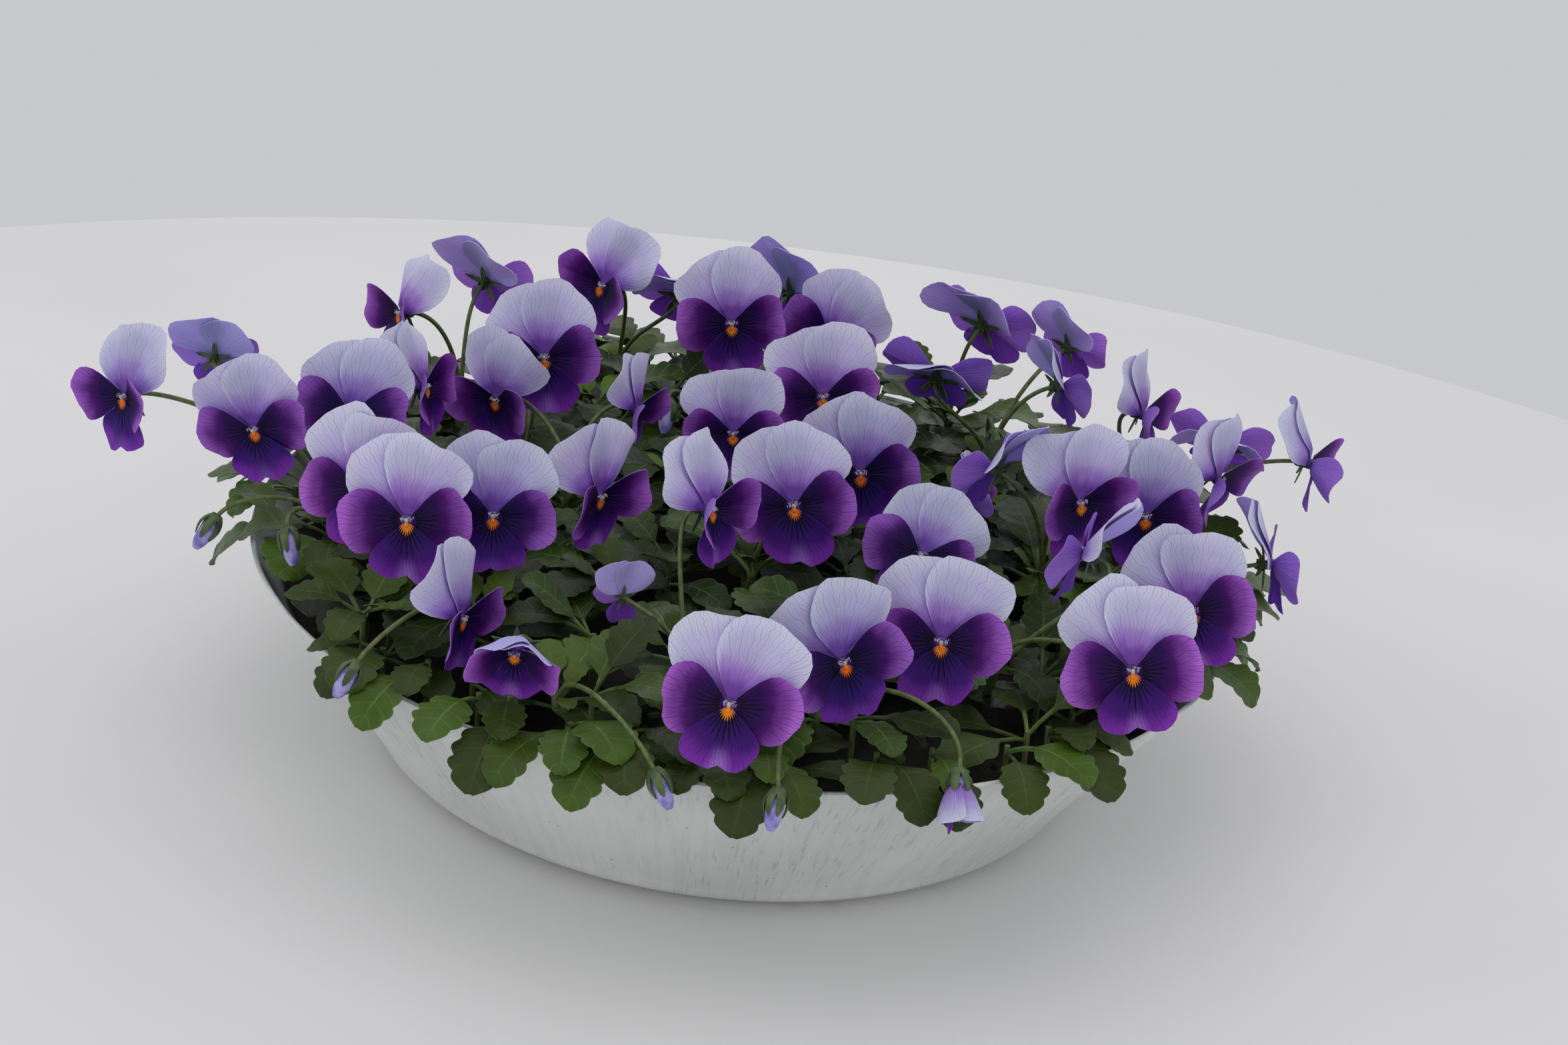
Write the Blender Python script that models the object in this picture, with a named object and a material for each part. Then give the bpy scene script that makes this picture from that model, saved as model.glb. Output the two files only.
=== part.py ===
"""A shallow galvanised bowl planted with violas. Metres, +Z up.
The origin is the middle of the bowl's flat underside; -Y is the front."""

import math

import bmesh
import bpy
import numpy as np
from mathutils import Matrix

# Driving dimensions, in metres
RIM_RADIUS = 0.180
BASE_RADIUS = 0.125
BOWL_HEIGHT = 0.076
WALL = 0.0014
CORNER = 0.010
FOOT_INSET = 0.55 * CORNER
FOOT_STEPS = (0.0, 0.25, 1.0)
HEM = 0.0012
HEM_HEIGHT = 0.004
HEM_ROUND = 0.0008
SOIL_DROP = 0.014
SOIL_CROWN = 0.006
SOIL_LUMP = 0.0012
SOIL_RINGS = (0.8, 0.42)
CLEARANCE = 0.0003
HOLE_TOP = 0.10

BOWL_SIDES = 32
GOLDEN_ANGLE = math.radians(137.508)

# Plants: one in the middle and a ring of seven round it
RING_PLANTS = 7
RING_RADIUS = 0.112
CROWN_RADIUS = 0.0055
CROWN_DEPTH = 0.020
CROWN_ABOVE = 0.006
SHOOTS = 31
SHOOT_SPREAD = 0.166
SHOOT_MARGIN = 0.005
SHOOT_SHARES = (0.02, 0.4, 0.85)
SHOOT_LIFTS = (0.004, 0.005)
SHOOT_RADIUS = 0.0014
SHOOT_STEPS = 2
TIP_BUD_RADIUS = 0.0032
TIP_BUD_ABOVE = 0.0055
TIP_BUD_BELOW = 0.0006
CANOPY_MIDDLE = 0.014
CANOPY_EDGE = 0.004
LEAVES_PER_SHOOT = 5

# A bloom's or bud's stalk: the bows it may take to keep clear, and what a bow and its length cost it
STALK_RADIUS = 0.0010
STALK_STEPS = 4
STALK_STARTS = 4
STALK_BOWS = (0.0, 0.006, 0.012, 0.018)
BOW_WAYS = 8
STALK_RISE = 0.42
STALK_ARRIVAL = 0.015
STALK_CLEAR = 0.006
BOW_COST = 0.12
LENGTH_COST = 0.05

# A leaf: (share of the blade's length, share of its half width) down one side, with two scallops
LEAF_LENGTH = 0.025
LEAF_HALF_WIDTH = 0.0088
PETIOLE = 0.011
LEAF_SIDE = ((0.0, 0.11), (0.26, 0.86), (0.42, 0.72), (0.68, 0.98))
LEAF_RIB = (0.18, 0.66)
LEAF_HALF_THICKNESS = 0.00045
LEAF_FOLD = 0.16
LEAF_ROOT = 0.055
LEAF_START = 0.0004
# Which rib point each outline point is fanned to: its stalk, below the notch, and above it
LEAF_OWNERS = (0, 0, 1, 2, 2, 2, 2, 2, 1, 0, 0)

# How a leaf is borne, in degrees: the least, what chance adds, and what leaning out over the rim adds
LEAF_RISE = (34, 18, -10)
LEAF_DROOP = (38, 24, 50)
LEAF_SIZES = (0.86, 0.28)
LEAF_STRAY = 0.4
LEAF_HEIGHTS = (0.0003, 0.00035)
# Ways a leaf may turn aside and lift to find room, in degrees: in the end it ducks under the others
LEAF_WAYS = (
    (0, 0),
    (22, 4),
    (-22, 4),
    (44, 8),
    (-44, 8),
    (0, -26),
    (30, -26),
    (-30, -26),
    (60, -20),
    (-60, -20),
)

# What a leaf keeps: from its plant's edge, the soil, the rim, its own plant and everything else
GROUND_MARGIN = 0.001
SOIL_MARGIN = 0.0015
RIM_MARGIN = 0.0018
RIM_BAND = 0.008
LOWEST_LEAF = 0.045
LEAF_APART = 0.0022
PLANTS_APART = 0.0034

# Petals, in millimetres and degrees: name, colour, direction, length, half fan, side trim, trim power,
# layer, forward slope, notch
PETALS = (
    ("upper_left", "lavender", 114, 28.0, 44, 0.34, 3.0, -1.5, -0.08, 0.0),
    ("upper_right", "lavender", 66, 28.0, 44, 0.34, 3.0, -0.7, -0.04, 0.0),
    ("side_left", "violet", 179, 21.5, 43, 0.32, 3.0, 0.3, 0.05, 0.0),
    ("side_right", "violet", 1, 21.5, 43, 0.32, 3.0, 0.3, 0.05, 0.0),
    ("lower", "violet", -90, 20.5, 48, 0.22, 4.0, 1.0, 0.10, 0.10),
)
PETAL_EDGE = (-1.0, -0.6, 0.0, 0.6, 1.0)
PETAL_WAVE = 0.3
PETAL_RIB = 0.58
NOTCH_WIDTH = 0.16
SWEEP_START = 7.0
FOLD_START = 4.0
CLAW = 0.025
PETAL_HALF_THICKNESS = 0.40
THROAT_RADIUS = 2.8
THROAT_CORNERS = (90, 222, 318)
THROAT_HALF_DEPTH = 2.0
CALYX_BEHIND = 3.3
CALYX_THICKNESS = 1.6
SEPAL_REACH = 6.2
SEPAL_NOTCH = 2.4
SEPAL_SWEEP = 1.2

# Blooms: x, y, z of the throat in millimetres; yaw, pitch and roll in degrees; size; how far the upper
# petals sweep back and how far the side petals fold forward, in degrees. Yaw 0 faces the front and
# positive yaw turns towards +X.
BLOOMS = (
    (-140, 66, 128, -55, 0, 5, 0.85, 25, 25),
    (-112, 108, 130, 155, 15, 0, 0.90, 20, 10),
    (-97, 18, 118, -28, -8, 5, 0.90, 10, 25),
    (-82, 32, 131, 4, 12, 10, 1.00, 5, 0),
    (-68, 116, 130, -42, 5, -8, 0.95, 10, 25),
    (-45, 10, 124, 72, -12, 0, 0.75, 15, 25),
    (-38, 131, 126, 178, 25, 0, 1.00, 35, 15),
    (-16, 92, 130, 8, 6, 7, 1.00, 5, 5),
    (6, 140, 128, 150, 10, 0, 0.95, 15, 10),
    (22, 106, 124, -14, 4, -20, 0.95, 5, 5),
    (8, 64, 116, -75, -10, 0, 0.75, 25, 15),
    (64, 66, 130, 172, 30, 5, 1.00, 35, 15),
    (82, 122, 132, 150, 20, 0, 1.00, 25, 10),
    (112, 80, 126, 115, 5, 0, 0.80, 20, 15),
    (116, 118, 128, 140, 10, 0, 0.75, 15, 10),
    (144, 70, 122, 70, 0, 0, 0.85, 10, 30),
    (172, 47, 124, 168, 30, 5, 0.95, 35, 15),
    (204, 32, 126, 82, -5, 0, 0.90, 30, 35),
    (-219, -58, 134, -38, 0, 10, 0.92, 10, 25),
    (-201, 18, 122, 178, 10, 0, 0.75, 15, 10),
    (-174, -54, 126, -4, -8, 18, 0.94, 0, 0),
    (-144, -28, 125, -4, 28, 0, 1.00, 0, 0),
    (-122, 2, 126, 78, 8, 0, 0.90, 15, 20),
    (-132, -82, 121, -14, 8, 8, 1.00, 0, 0),
    (-113, -103, 121, 4, 14, 5, 1.04, 0, 0),
    (-85, -91, 121, -3, 10, 4, 0.98, 5, 0),
    (-51, -71, 124, 55, -8, 0, 0.95, 10, 20),
    (-9, 8, 120, 0, 10, 6, 0.88, 0, 10),
    (22, 34, 128, 4, 12, 6, 0.98, 0, 0),
    (38, -28, 126, 12, 10, 6, 1.00, 0, 5),
    (16, -70, 129, 0, 12, 14, 1.02, 0, 0),
    (-12, -98, 136, 62, 8, 0, 0.95, 10, 35),
    (62, -66, 114, -10, 34, -10, 0.96, 0, 5),
    (70, -126, 111, 0, 12, 2, 1.04, 0, 5),
    (38, -150, 111, 24, 8, 18, 1.00, 0, 15),
    (3, -182, 107, -4, 16, -2, 1.06, 0, 0),
    (134, -130, 111, 0, 14, 12, 1.08, 0, 0),
    (156, -80, 112, 6, 14, 14, 1.04, 0, 0),
    (186, -40, 116, 100, 6, 0, 0.92, 15, 15),
    (116, -82, 130, -112, 8, 0, 0.92, 20, 15),
    (141, -24, 121, 0, 8, 4, 0.98, 0, 0),
    (168, 6, 126, 60, -20, 10, 0.92, 15, 25),
    (116, -37, 129, 34, 4, 0, 0.98, 5, 20),
    (84, -34, 137, -125, 10, 0, 0.84, 20, 15),
    (79, -8, 114, 85, 0, 0, 0.58, 5, 50),
    (-38, -108, 105, -150, -10, 0, 0.48, 0, 55),
    (-89, -134, 102, 66, -8, 0, 0.90, 20, 20),
    (-68, -164, 107, 4, -22, 0, 0.90, -58, 40),
)

# Closed buds, each nodding on its stalk: x, y, z in millimetres and the way it faces in degrees
BUDS = (
    (79, -172, 88, 20),
    (22, -193, 84, -10),
    (-18, -190, 84, 60),
    (-120, -156, 92, -50),
    (-184, -64, 95, -60),
    (-158, -68, 96, 30),
    (88, 60, 112, 40),
    (-36, 66, 106, 0),
)
BUD_RADIUS = 0.0032
BUD_LENGTH = 0.013
BUD_WIDEST = 0.45
BUD_ROOT = 0.001
BUD_LEAN = 0.55
BUD_FALL = 0.835

MATERIALS = {
    "galvanised_steel": ((0.50, 0.52, 0.52), 0.45, 0.85),
    "potting_soil": ((0.035, 0.026, 0.020), 0.95, 0.0),
    "viola_leaf": ((0.060, 0.105, 0.045), 0.60, 0.0),
    "lavender": ((0.45, 0.38, 0.72), 0.55, 0.0),
    "violet": ((0.16, 0.045, 0.36), 0.55, 0.0),
}


def clear_scene():
    for obj in list(bpy.data.objects):
        bpy.data.objects.remove(obj, do_unlink=True)


def material(name):
    found = bpy.data.materials.get(name)
    if found:
        return found
    colour, roughness, metallic = MATERIALS[name]
    made = bpy.data.materials.new(name)
    made.use_nodes = True
    shader = made.node_tree.nodes["Principled BSDF"]
    shader.inputs["Base Color"].default_value = (*colour, 1.0)
    shader.inputs["Roughness"].default_value = roughness
    shader.inputs["Metallic"].default_value = metallic
    return made


def mesh_object(name, points, faces, material_name):
    mesh = bpy.data.meshes.new(name)
    mesh.from_pydata([tuple(map(float, p)) for p in points], [], faces)
    mesh.update()
    mesh.materials.append(material(material_name))
    obj = bpy.data.objects.new(name, mesh)
    bpy.context.scene.collection.objects.link(obj)
    return obj


def keep_largest_body(mesh):
    """Drops what a union leaves beside the body itself: sealed hollows and loose scraps."""
    edit = bmesh.new()
    edit.from_mesh(mesh)
    bodies = []
    unseen = set(edit.verts)
    while unseen:
        body = {unseen.pop()}
        front = list(body)
        while front:
            near = {edge.other_vert(vert) for vert in front for edge in vert.link_edges} & unseen
            unseen -= near
            body |= near
            front = list(near)
        bodies.append(body)
    largest = max(bodies, key=len)
    loose = [vert for vert in edit.verts if vert not in largest]
    bmesh.ops.delete(edit, geom=loose, context="VERTS")
    edit.to_mesh(mesh)
    edit.free()


def joined(name, pieces):
    """One solid from overlapping pieces: the first takes a Boolean union with all the others."""
    base, others = pieces[0], pieces[1:]
    group = bpy.data.collections.new(name + "_pieces")
    bpy.context.scene.collection.children.link(group)
    for piece in others:
        group.objects.link(piece)
    union = base.modifiers.new("join", "BOOLEAN")
    union.operation = "UNION"
    union.solver = "MANIFOLD"
    union.operand_type = "COLLECTION"
    union.collection = group
    bpy.context.view_layer.update()
    graph = bpy.context.evaluated_depsgraph_get()
    mesh = bpy.data.meshes.new_from_object(base.evaluated_get(graph))
    keep_largest_body(mesh)
    base.modifiers.clear()
    base.data = mesh
    base.name = name
    for piece in others:
        bpy.data.objects.remove(piece, do_unlink=True)
    bpy.data.collections.remove(group)
    return base


# Turned shapes


def turned(name, profile, sides, material_name, height=None):
    """A solid turned about Z. The profile runs from the axis, up the outside, and back to the axis."""
    points = []
    rings = []
    for radius, z in profile:
        if radius == 0:
            rings.append([len(points)])
            points.append((0.0, 0.0, z))
            continue
        rings.append(list(range(len(points), len(points) + sides)))
        for k in range(sides):
            turn = 2 * math.pi * k / sides
            x, y = radius * math.cos(turn), radius * math.sin(turn)
            points.append((x, y, z + (height(x, y, z) if height else 0.0)))
    faces = []
    for low, high in zip(rings, rings[1:]):
        for k in range(sides):
            after = (k + 1) % sides
            if len(low) == 1:
                faces.append((low[0], high[after], high[k]))
            elif len(high) == 1:
                faces.append((low[k], low[after], high[0]))
            else:
                faces.append((low[k], low[after], high[after], high[k]))
    return mesh_object(name, points, faces, material_name)


def wall_radius(z):
    """The bowl's outer radius at a height: a straight flare above a rounded foot."""
    foot = BASE_RADIUS - FOOT_INSET
    if z < CORNER:
        share = z / CORNER
        flare_start = BASE_RADIUS + (RIM_RADIUS - BASE_RADIUS) * CORNER / BOWL_HEIGHT
        return foot + (flare_start - foot) * math.sin(share * math.pi / 2)
    return BASE_RADIUS + (RIM_RADIUS - BASE_RADIUS) * z / BOWL_HEIGHT


def inner_wall():
    """(radius, height) down the inside of the bowl, from the middle of its floor to its rim."""
    inner = [(wall_radius(0) - WALL, WALL)]
    inner += [(wall_radius(CORNER * s) - WALL * 1.2, CORNER * s + WALL) for s in FOOT_STEPS[1:]]
    return inner + [(RIM_RADIUS - WALL - HEM * 0.5, BOWL_HEIGHT - HEM_ROUND)]


def make_bowl():
    heights = [CORNER * s for s in FOOT_STEPS]
    hem_low = BOWL_HEIGHT - HEM_HEIGHT
    outer = [(wall_radius(z), z) for z in heights]
    outer += [
        (wall_radius(hem_low), hem_low),
        (RIM_RADIUS + HEM * 0.5, BOWL_HEIGHT - HEM_ROUND),
        (RIM_RADIUS - HEM * 0.5, BOWL_HEIGHT),
    ]
    profile = [(0, 0)] + outer + list(reversed(inner_wall())) + [(0, WALL)]
    return turned("bowl", profile, BOWL_SIDES, "galvanised_steel")


def soil_top(x, y):
    """Height of the potting soil: gently domed, with low lumps that die out at the wall."""
    reach = math.hypot(x, y) / RIM_RADIUS
    lumps = SOIL_LUMP * math.sin(61 * x + 1.3) * math.cos(53 * y - 0.4)
    return BOWL_HEIGHT - SOIL_DROP + (SOIL_CROWN + lumps) * max(0.0, 1 - reach * reach)


def crowns():
    """Where each plant stands in the soil."""
    places = [(0.0, 0.0)]
    for k in range(RING_PLANTS):
        turn = 2 * math.pi * (k + 0.25) / RING_PLANTS
        places.append((RING_RADIUS * math.cos(turn), RING_RADIUS * math.sin(turn)))
    return np.array(places)


def make_soil(places):
    edge = BOWL_HEIGHT - SOIL_DROP
    inner = inner_wall()
    (low_radius, start), (high_radius, end) = inner[-2:]
    wall = low_radius + (high_radius - low_radius) * (edge - start) / (end - start)
    bottom = [(radius - CLEARANCE * 1.5, z + CLEARANCE) for radius, z in inner[:-1]]
    bottom.append((wall - CLEARANCE * 1.5, edge))
    top = [(bottom[-1][0] * s, edge) for s in SOIL_RINGS]
    profile = [(0, WALL + CLEARANCE)] + bottom + top + [(0, edge)]

    def rise(x, y, z):
        on_top = z == edge and math.hypot(x, y) < bottom[-1][0] - CLEARANCE
        return soil_top(x, y) - edge if on_top else 0.0

    soil = turned("soil", profile, BOWL_SIDES, "potting_soil", rise)
    soil.data.vertices[len(soil.data.vertices) - 1].co.z = soil_top(0, 0)
    for k, (x, y) in enumerate(places):
        low = soil_top(x, y) - CROWN_DEPTH
        cutter = post("hole_%d" % k, (x, y), low, HOLE_TOP, CROWN_RADIUS + CLEARANCE)
        cutter.hide_render = True
        cutter.display_type = "WIRE"
        cut = soil.modifiers.new("hole_%d" % k, "BOOLEAN")
        cut.operation = "DIFFERENCE"
        cut.object = cutter
    return soil


def post(name, place, low, high, radius, sides=6):
    """An upright six-sided post from one height to another."""
    profile = [(0, low), (radius, low), (radius, high), (0, high)]
    made = turned(name, profile, sides, "viola_leaf")
    made.data.transform(Matrix.Translation((*place, 0.0)))
    return made


# Blades, tubes and buds


def blade(name, outline, inner, owners, thickness, material_name):
    """A thin leaf or petal: both faces share its outline and swell apart along its rib.
    owners says which rib point each outline edge is fanned to."""
    outline, inner = np.array(outline, float), np.array(inner, float)
    count = len(outline)
    centre = inner.mean(0)
    normal = np.zeros(3)
    for a, b in zip(outline, np.roll(outline, -1, 0)):
        normal += np.cross(a - centre, b - centre)
    normal /= np.linalg.norm(normal)
    points = np.concatenate([outline, inner + normal * thickness, inner - normal * thickness])
    faces = []
    for edge in range(count):
        after = (edge + 1) % count
        own, following = owners[edge], owners[after]
        above, below = count + own, count + len(inner) + own
        faces += [(edge, after, above), (after, edge, below)]
        if own != following:
            above_next, below_next = count + following, count + len(inner) + following
            faces += [(above, after, above_next), (below_next, after, below)]
    return mesh_object(name, points, faces, material_name)


def tube_rings(path, radii, side, sides=3):
    """Rings of points round a path, from its start to its end. Their frame is carried back from
    the path's end, where its first corner lies towards side."""
    path = np.array(path, float)
    tangents = np.gradient(path, axis=0)
    tangents /= np.linalg.norm(tangents, axis=1)[:, None]
    rings = []
    for place, along, radius in zip(path[::-1], tangents[::-1], radii[::-1]):
        side = side - along * (side @ along)
        side = side / np.linalg.norm(side)
        across = np.cross(along, side)
        turns = [2 * math.pi * k / sides for k in range(sides)]
        rings.append([place + radius * (math.cos(t) * side + math.sin(t) * across) for t in turns])
    return rings[::-1]


def tube(name, rings, material_name, tip=()):
    """A stem skinned over its rings. A tip is (points, faces) that close its end, where a face
    counts the last ring's corners from 0 and the tip's own points on from them."""
    sides = len(rings[0])
    points = [point for ring in rings for point in ring]
    faces = [tuple(range(sides))[::-1]]
    for ring in range(len(rings) - 1):
        start = ring * sides
        for k in range(sides):
            after = (k + 1) % sides
            faces.append((start + k, start + after, start + sides + after, start + sides + k))
    last = len(points) - sides
    if tip:
        points += list(tip[0])
        faces += [tuple(last + corner for corner in face) for face in tip[1]]
    else:
        faces.append(tuple(range(last, last + sides)))
    return mesh_object(name, points, faces, material_name)


def spindle(name, low, high, radius, widest, sides, material_name):
    """A pointed bud between two points, widest at a share of its length."""
    low, high = np.array(low, float), np.array(high, float)
    along = (high - low) / np.linalg.norm(high - low)
    helper = np.array((1.0, 0.0, 0.0)) if abs(along[0]) < 0.9 else np.array((0.0, 1.0, 0.0))
    helper = helper - along * (helper @ along)
    helper /= np.linalg.norm(helper)
    across = np.cross(along, helper)
    middle = low + (high - low) * widest
    points = [low, high]
    for k in range(sides):
        turn = 2 * math.pi * k / sides
        points.append(middle + radius * (math.cos(turn) * helper + math.sin(turn) * across))
    faces = []
    for k in range(sides):
        after = (k + 1) % sides
        faces += [(0, 2 + after, 2 + k), (1, 2 + k, 2 + after)]
    return mesh_object(name, points, faces, material_name)


# Blooms


def bloom_axes(yaw, pitch, roll):
    """(right, up, facing) of a bloom as someone looking at its face sees it."""
    yaw, pitch, roll = map(math.radians, (yaw, pitch, roll))
    facing = np.array(
        (math.sin(yaw) * math.cos(pitch), -math.cos(yaw) * math.cos(pitch), math.sin(pitch))
    )
    level = np.array((math.cos(yaw), math.sin(yaw), 0.0))
    steep = np.cross(facing, level)
    right = math.cos(roll) * level + math.sin(roll) * steep
    return right, np.cross(facing, right), facing


def in_bloom(bloom, local):
    """Local millimetres (right, up, forward) of a bloom as world metres."""
    x, y, z, yaw, pitch, roll, size = bloom[:7]
    axes = np.array(bloom_axes(yaw, pitch, roll))
    return np.array((x, y, z)) / 1000 + np.asarray(local, float) @ axes * size / 1000


def petal_points(bloom, number, petal, u, v):
    """Points of a petal, from its claw (u 0) to its edge (u 1), v -1 to 1 across the fan.
    Upper petals sweep back past the sepals, side petals fold forward."""
    _, _, direction, length, half_fan, trim, power, layer, slope, notch = petal
    sweep, fold = bloom[7], bloom[8]
    phase = bloom[0] * 0.13 + bloom[1] * 0.07 + number * 2.3
    angle = math.radians(direction) + v * math.radians(half_fan)
    reach = length * (1 - trim * np.abs(v) ** power - notch * np.exp(-((v / NOTCH_WIDTH) ** 2))) * u
    start, bend = FOLD_START, fold if notch == 0 else 0
    if petal[1] == "lavender":
        start, bend = SWEEP_START, -sweep
    past = np.maximum(reach - start, 0)
    bend = math.radians(bend)
    flat = reach - past * (1 - math.cos(bend))
    forward = layer * np.minimum(reach / THROAT_RADIUS, 1) + slope * reach + past * math.sin(bend)
    forward = forward + PETAL_WAVE * u**3 * np.sin(3.1 * v + phase)
    local = np.stack([flat * np.cos(angle), flat * np.sin(angle), forward], -1)
    return in_bloom(bloom, local)


def petal_blade(bloom, number, petal):
    edge = np.array(PETAL_EDGE)
    u = np.array([CLAW] + [1.0] * len(edge))
    v = np.array([0.0, *edge])
    outline = petal_points(bloom, number, petal, u, v)
    rib = petal_points(bloom, number, petal, np.array([PETAL_RIB]), np.array([0.0]))
    thickness = PETAL_HALF_THICKNESS / 1000
    return blade(petal[0], outline, rib, [0] * len(u), thickness, petal[1])


def petal_samples(bloom):
    """Points spread over all five petals, to keep other things clear of them."""
    u, v = np.meshgrid((0.35, 0.68, 1.0), (-1.0, -0.62, -0.22, 0.22, 0.62, 1.0))
    found = [petal_points(bloom, n, petal, u.ravel(), v.ravel()) for n, petal in enumerate(PETALS)]
    middle = in_bloom(bloom, ((0, 0, 0), (0, 0, THROAT_HALF_DEPTH), (0, 0, 2 * THROAT_HALF_DEPTH)))
    return np.concatenate([*found, middle])


def make_throat(bloom):
    """The small knob that the petals grow from: each of its three corners lies between two petals."""
    turns = np.radians(THROAT_CORNERS)
    local = np.stack([np.cos(turns), np.sin(turns), 0 * turns], -1) * THROAT_RADIUS
    poles = np.array(((0, 0, -THROAT_HALF_DEPTH), (0, 0, THROAT_HALF_DEPTH)))
    points = in_bloom(bloom, np.concatenate([local, poles]))
    faces = []
    for k in range(3):
        after = (k + 1) % 3
        faces += [(k, after, 4), (after, k, 3)]
    return mesh_object("throat", points, faces, "violet")


def make_bloom(name, bloom):
    petals = [petal_blade(bloom, number, petal) for number, petal in enumerate(PETALS)]
    return joined(name, [make_throat(bloom)] + petals)


def calyx_tip(bloom):
    """Five sepals in a star behind the petals, their tips swept back, that close a bloom's stalk.
    The stalk's three corners face 90, 210 and 330 degrees as the star's points do."""
    star = []
    for k in range(10):
        turn = math.radians(90 + 36 * k)
        reach, back = SEPAL_NOTCH, CALYX_BEHIND
        if k % 2 == 0:
            reach, back = SEPAL_REACH, CALYX_BEHIND + SEPAL_SWEEP
        star.append((reach * math.cos(turn), reach * math.sin(turn), -back))
    star.append((0, 0, CALYX_THICKNESS / 2 - CALYX_BEHIND))
    nearest = [0, 0, 1, 1, 1, 1, 2, 2, 2, 0]
    front = 13
    faces = []
    for k in range(10):
        after = (k + 1) % 10
        faces.append((3 + k, 3 + after, front))
        faces.append((3 + after, 3 + k, nearest[k]))
        if nearest[k] != nearest[after]:
            faces.append((nearest[after], 3 + after, nearest[k]))
    return in_bloom(bloom, star), faces


# Shoots and stalks


def bezier(controls, steps):
    t = np.linspace(0, 1, steps + 1)[:, None]
    a, b, c, d = map(np.array, controls)
    return (1 - t) ** 3 * a + 3 * t * (1 - t) ** 2 * b + 3 * t**2 * (1 - t) * c + t**3 * d


def ground_margin(points, own, places):
    """How far points lie inside a plant's own ground, which ends halfway to each other plant."""
    points = np.atleast_2d(points)[:, :2]
    own_square = ((points - places[own]) ** 2).sum(1)
    margins = [
        (((points - place) ** 2).sum(1) - own_square) / (2 * np.linalg.norm(place - places[own]))
        for k, place in enumerate(places)
        if k != own
    ]
    return np.min(margins, axis=0)


def shoot_tips(places):
    """(tip, plant) of each leafy shoot, spread over the bowl as seeds are in a sunflower."""
    tips = []
    for k in range(SHOOTS):
        reach = SHOOT_SPREAD * math.sqrt((k + 0.6) / SHOOTS)
        x, y = reach * math.cos(k * GOLDEN_ANGLE), reach * math.sin(k * GOLDEN_ANGLE)
        plant = int(np.argmin(np.hypot(places[:, 0] - x, places[:, 1] - y)))
        tip = np.array((x, y))
        while ground_margin(tip, plant, places)[0] < SHOOT_MARGIN:
            tip = tip + (places[plant] - tip) * 0.1
        edge = (reach / RIM_RADIUS) ** 2
        height = BOWL_HEIGHT + CANOPY_MIDDLE + (CANOPY_EDGE - CANOPY_MIDDLE) * edge
        tips.append((np.array((*tip, height)), plant))
    return tips


def shoot_path(tip, place):
    """A shoot leaves its crown low over the soil and turns up at its tip."""
    base = soil_top(*place) + CROWN_ABOVE * 0.5
    low = soil_top(tip[0], tip[1])
    first, second, third = (place + (tip[:2] - place) * share for share in SHOOT_SHARES)
    controls = (
        (*first, base),
        (*second, base + SHOOT_LIFTS[0]),
        (*third, low + SHOOT_LIFTS[1]),
        tip,
    )
    return bezier(controls, SHOOT_STEPS)


def clear_of(points, obstacles):
    """The least distance from any of the points to any obstacle."""
    if not len(obstacles):
        return 1.0
    apart = np.linalg.norm(points[:, None, :] - obstacles[None, :, :], axis=2)
    return float(apart.min())


def stalk_route(starts, end, arrive, obstacles_of, steps):
    """(plant, path) of a stalk up to a bloom or bud, which it reaches travelling along arrive.
    It springs from the shoot, and bows to the side, that keep it furthest from what isn't its own."""
    best, best_score = None, -9.0
    for start, plant in starts:
        reach = float(np.linalg.norm(end - start))
        for bow in STALK_BOWS:
            for turn in range(1 if bow == 0 else BOW_WAYS):
                way = 2 * math.pi * turn / BOW_WAYS
                side = np.array((math.cos(way), math.sin(way), 0.0)) * bow
                controls = (
                    start,
                    start + np.array((0, 0, STALK_RISE * reach)) + side,
                    end - arrive * min(STALK_ARRIVAL, 0.45 * reach) + side * 0.6,
                    end,
                )
                tested = bezier(controls, 20)[:-3]
                clear = min(clear_of(tested, obstacles_of(plant)), STALK_CLEAR)
                score = clear - BOW_COST * bow - LENGTH_COST * reach
                if score > best_score:
                    best, best_score = (plant, bezier(controls, steps)), score
    return best


def grow_stalks(tips, places):
    """[(plant, path, bloom or bud)] for every bloom, then every bud, with the points that the
    stalks fill and those that the petals fill."""
    petals = [petal_samples(bloom) for bloom in BLOOMS]
    stalks = []
    filled = [(plant, stalk_points(shoot_path(tip, places[plant])[:-1])) for tip, plant in tips]
    for row in BLOOMS + BUDS:
        is_bloom = len(row) > 4
        if is_bloom:
            arrive = bloom_axes(*row[3:6])[2]
            end = in_bloom(row, ((0, 0, -CALYX_BEHIND),))[0]
        else:
            arrive = bud_direction(row)
            end = np.array(row[:3]) / 1000
        starts = sorted(tips, key=lambda tip: np.linalg.norm(tip[0] - end))[:STALK_STARTS]

        def obstacles_of(plant):
            return np.concatenate(petals + [points for owner, points in filled if owner != plant])

        plant, path = stalk_route(starts, end, arrive, obstacles_of, STALK_STEPS)
        fine = stalk_points(path)
        body = calyx_points(row) if is_bloom else bud_points(row)
        filled.append((plant, np.concatenate([fine, body])))
        stalks.append((plant, path, row))
    return stalks, filled, np.concatenate(petals)


def stalk_points(path):
    """The path again with points about 2 mm apart."""
    pieces = [np.linspace(a, b, 5)[:-1] for a, b in zip(path, path[1:])]
    return np.concatenate(pieces + [path[-1:]])


def calyx_points(bloom):
    turns = np.radians(90 + 36 * np.arange(10))
    ring = np.stack([np.cos(turns), np.sin(turns), np.zeros(10)], -1)
    outer = ring * SEPAL_REACH - np.array((0, 0, CALYX_BEHIND + 1))
    inner = ring * SEPAL_REACH * 0.5 - np.array((0, 0, CALYX_BEHIND + 0.5))
    return in_bloom(bloom, np.concatenate([outer, inner]))


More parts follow.
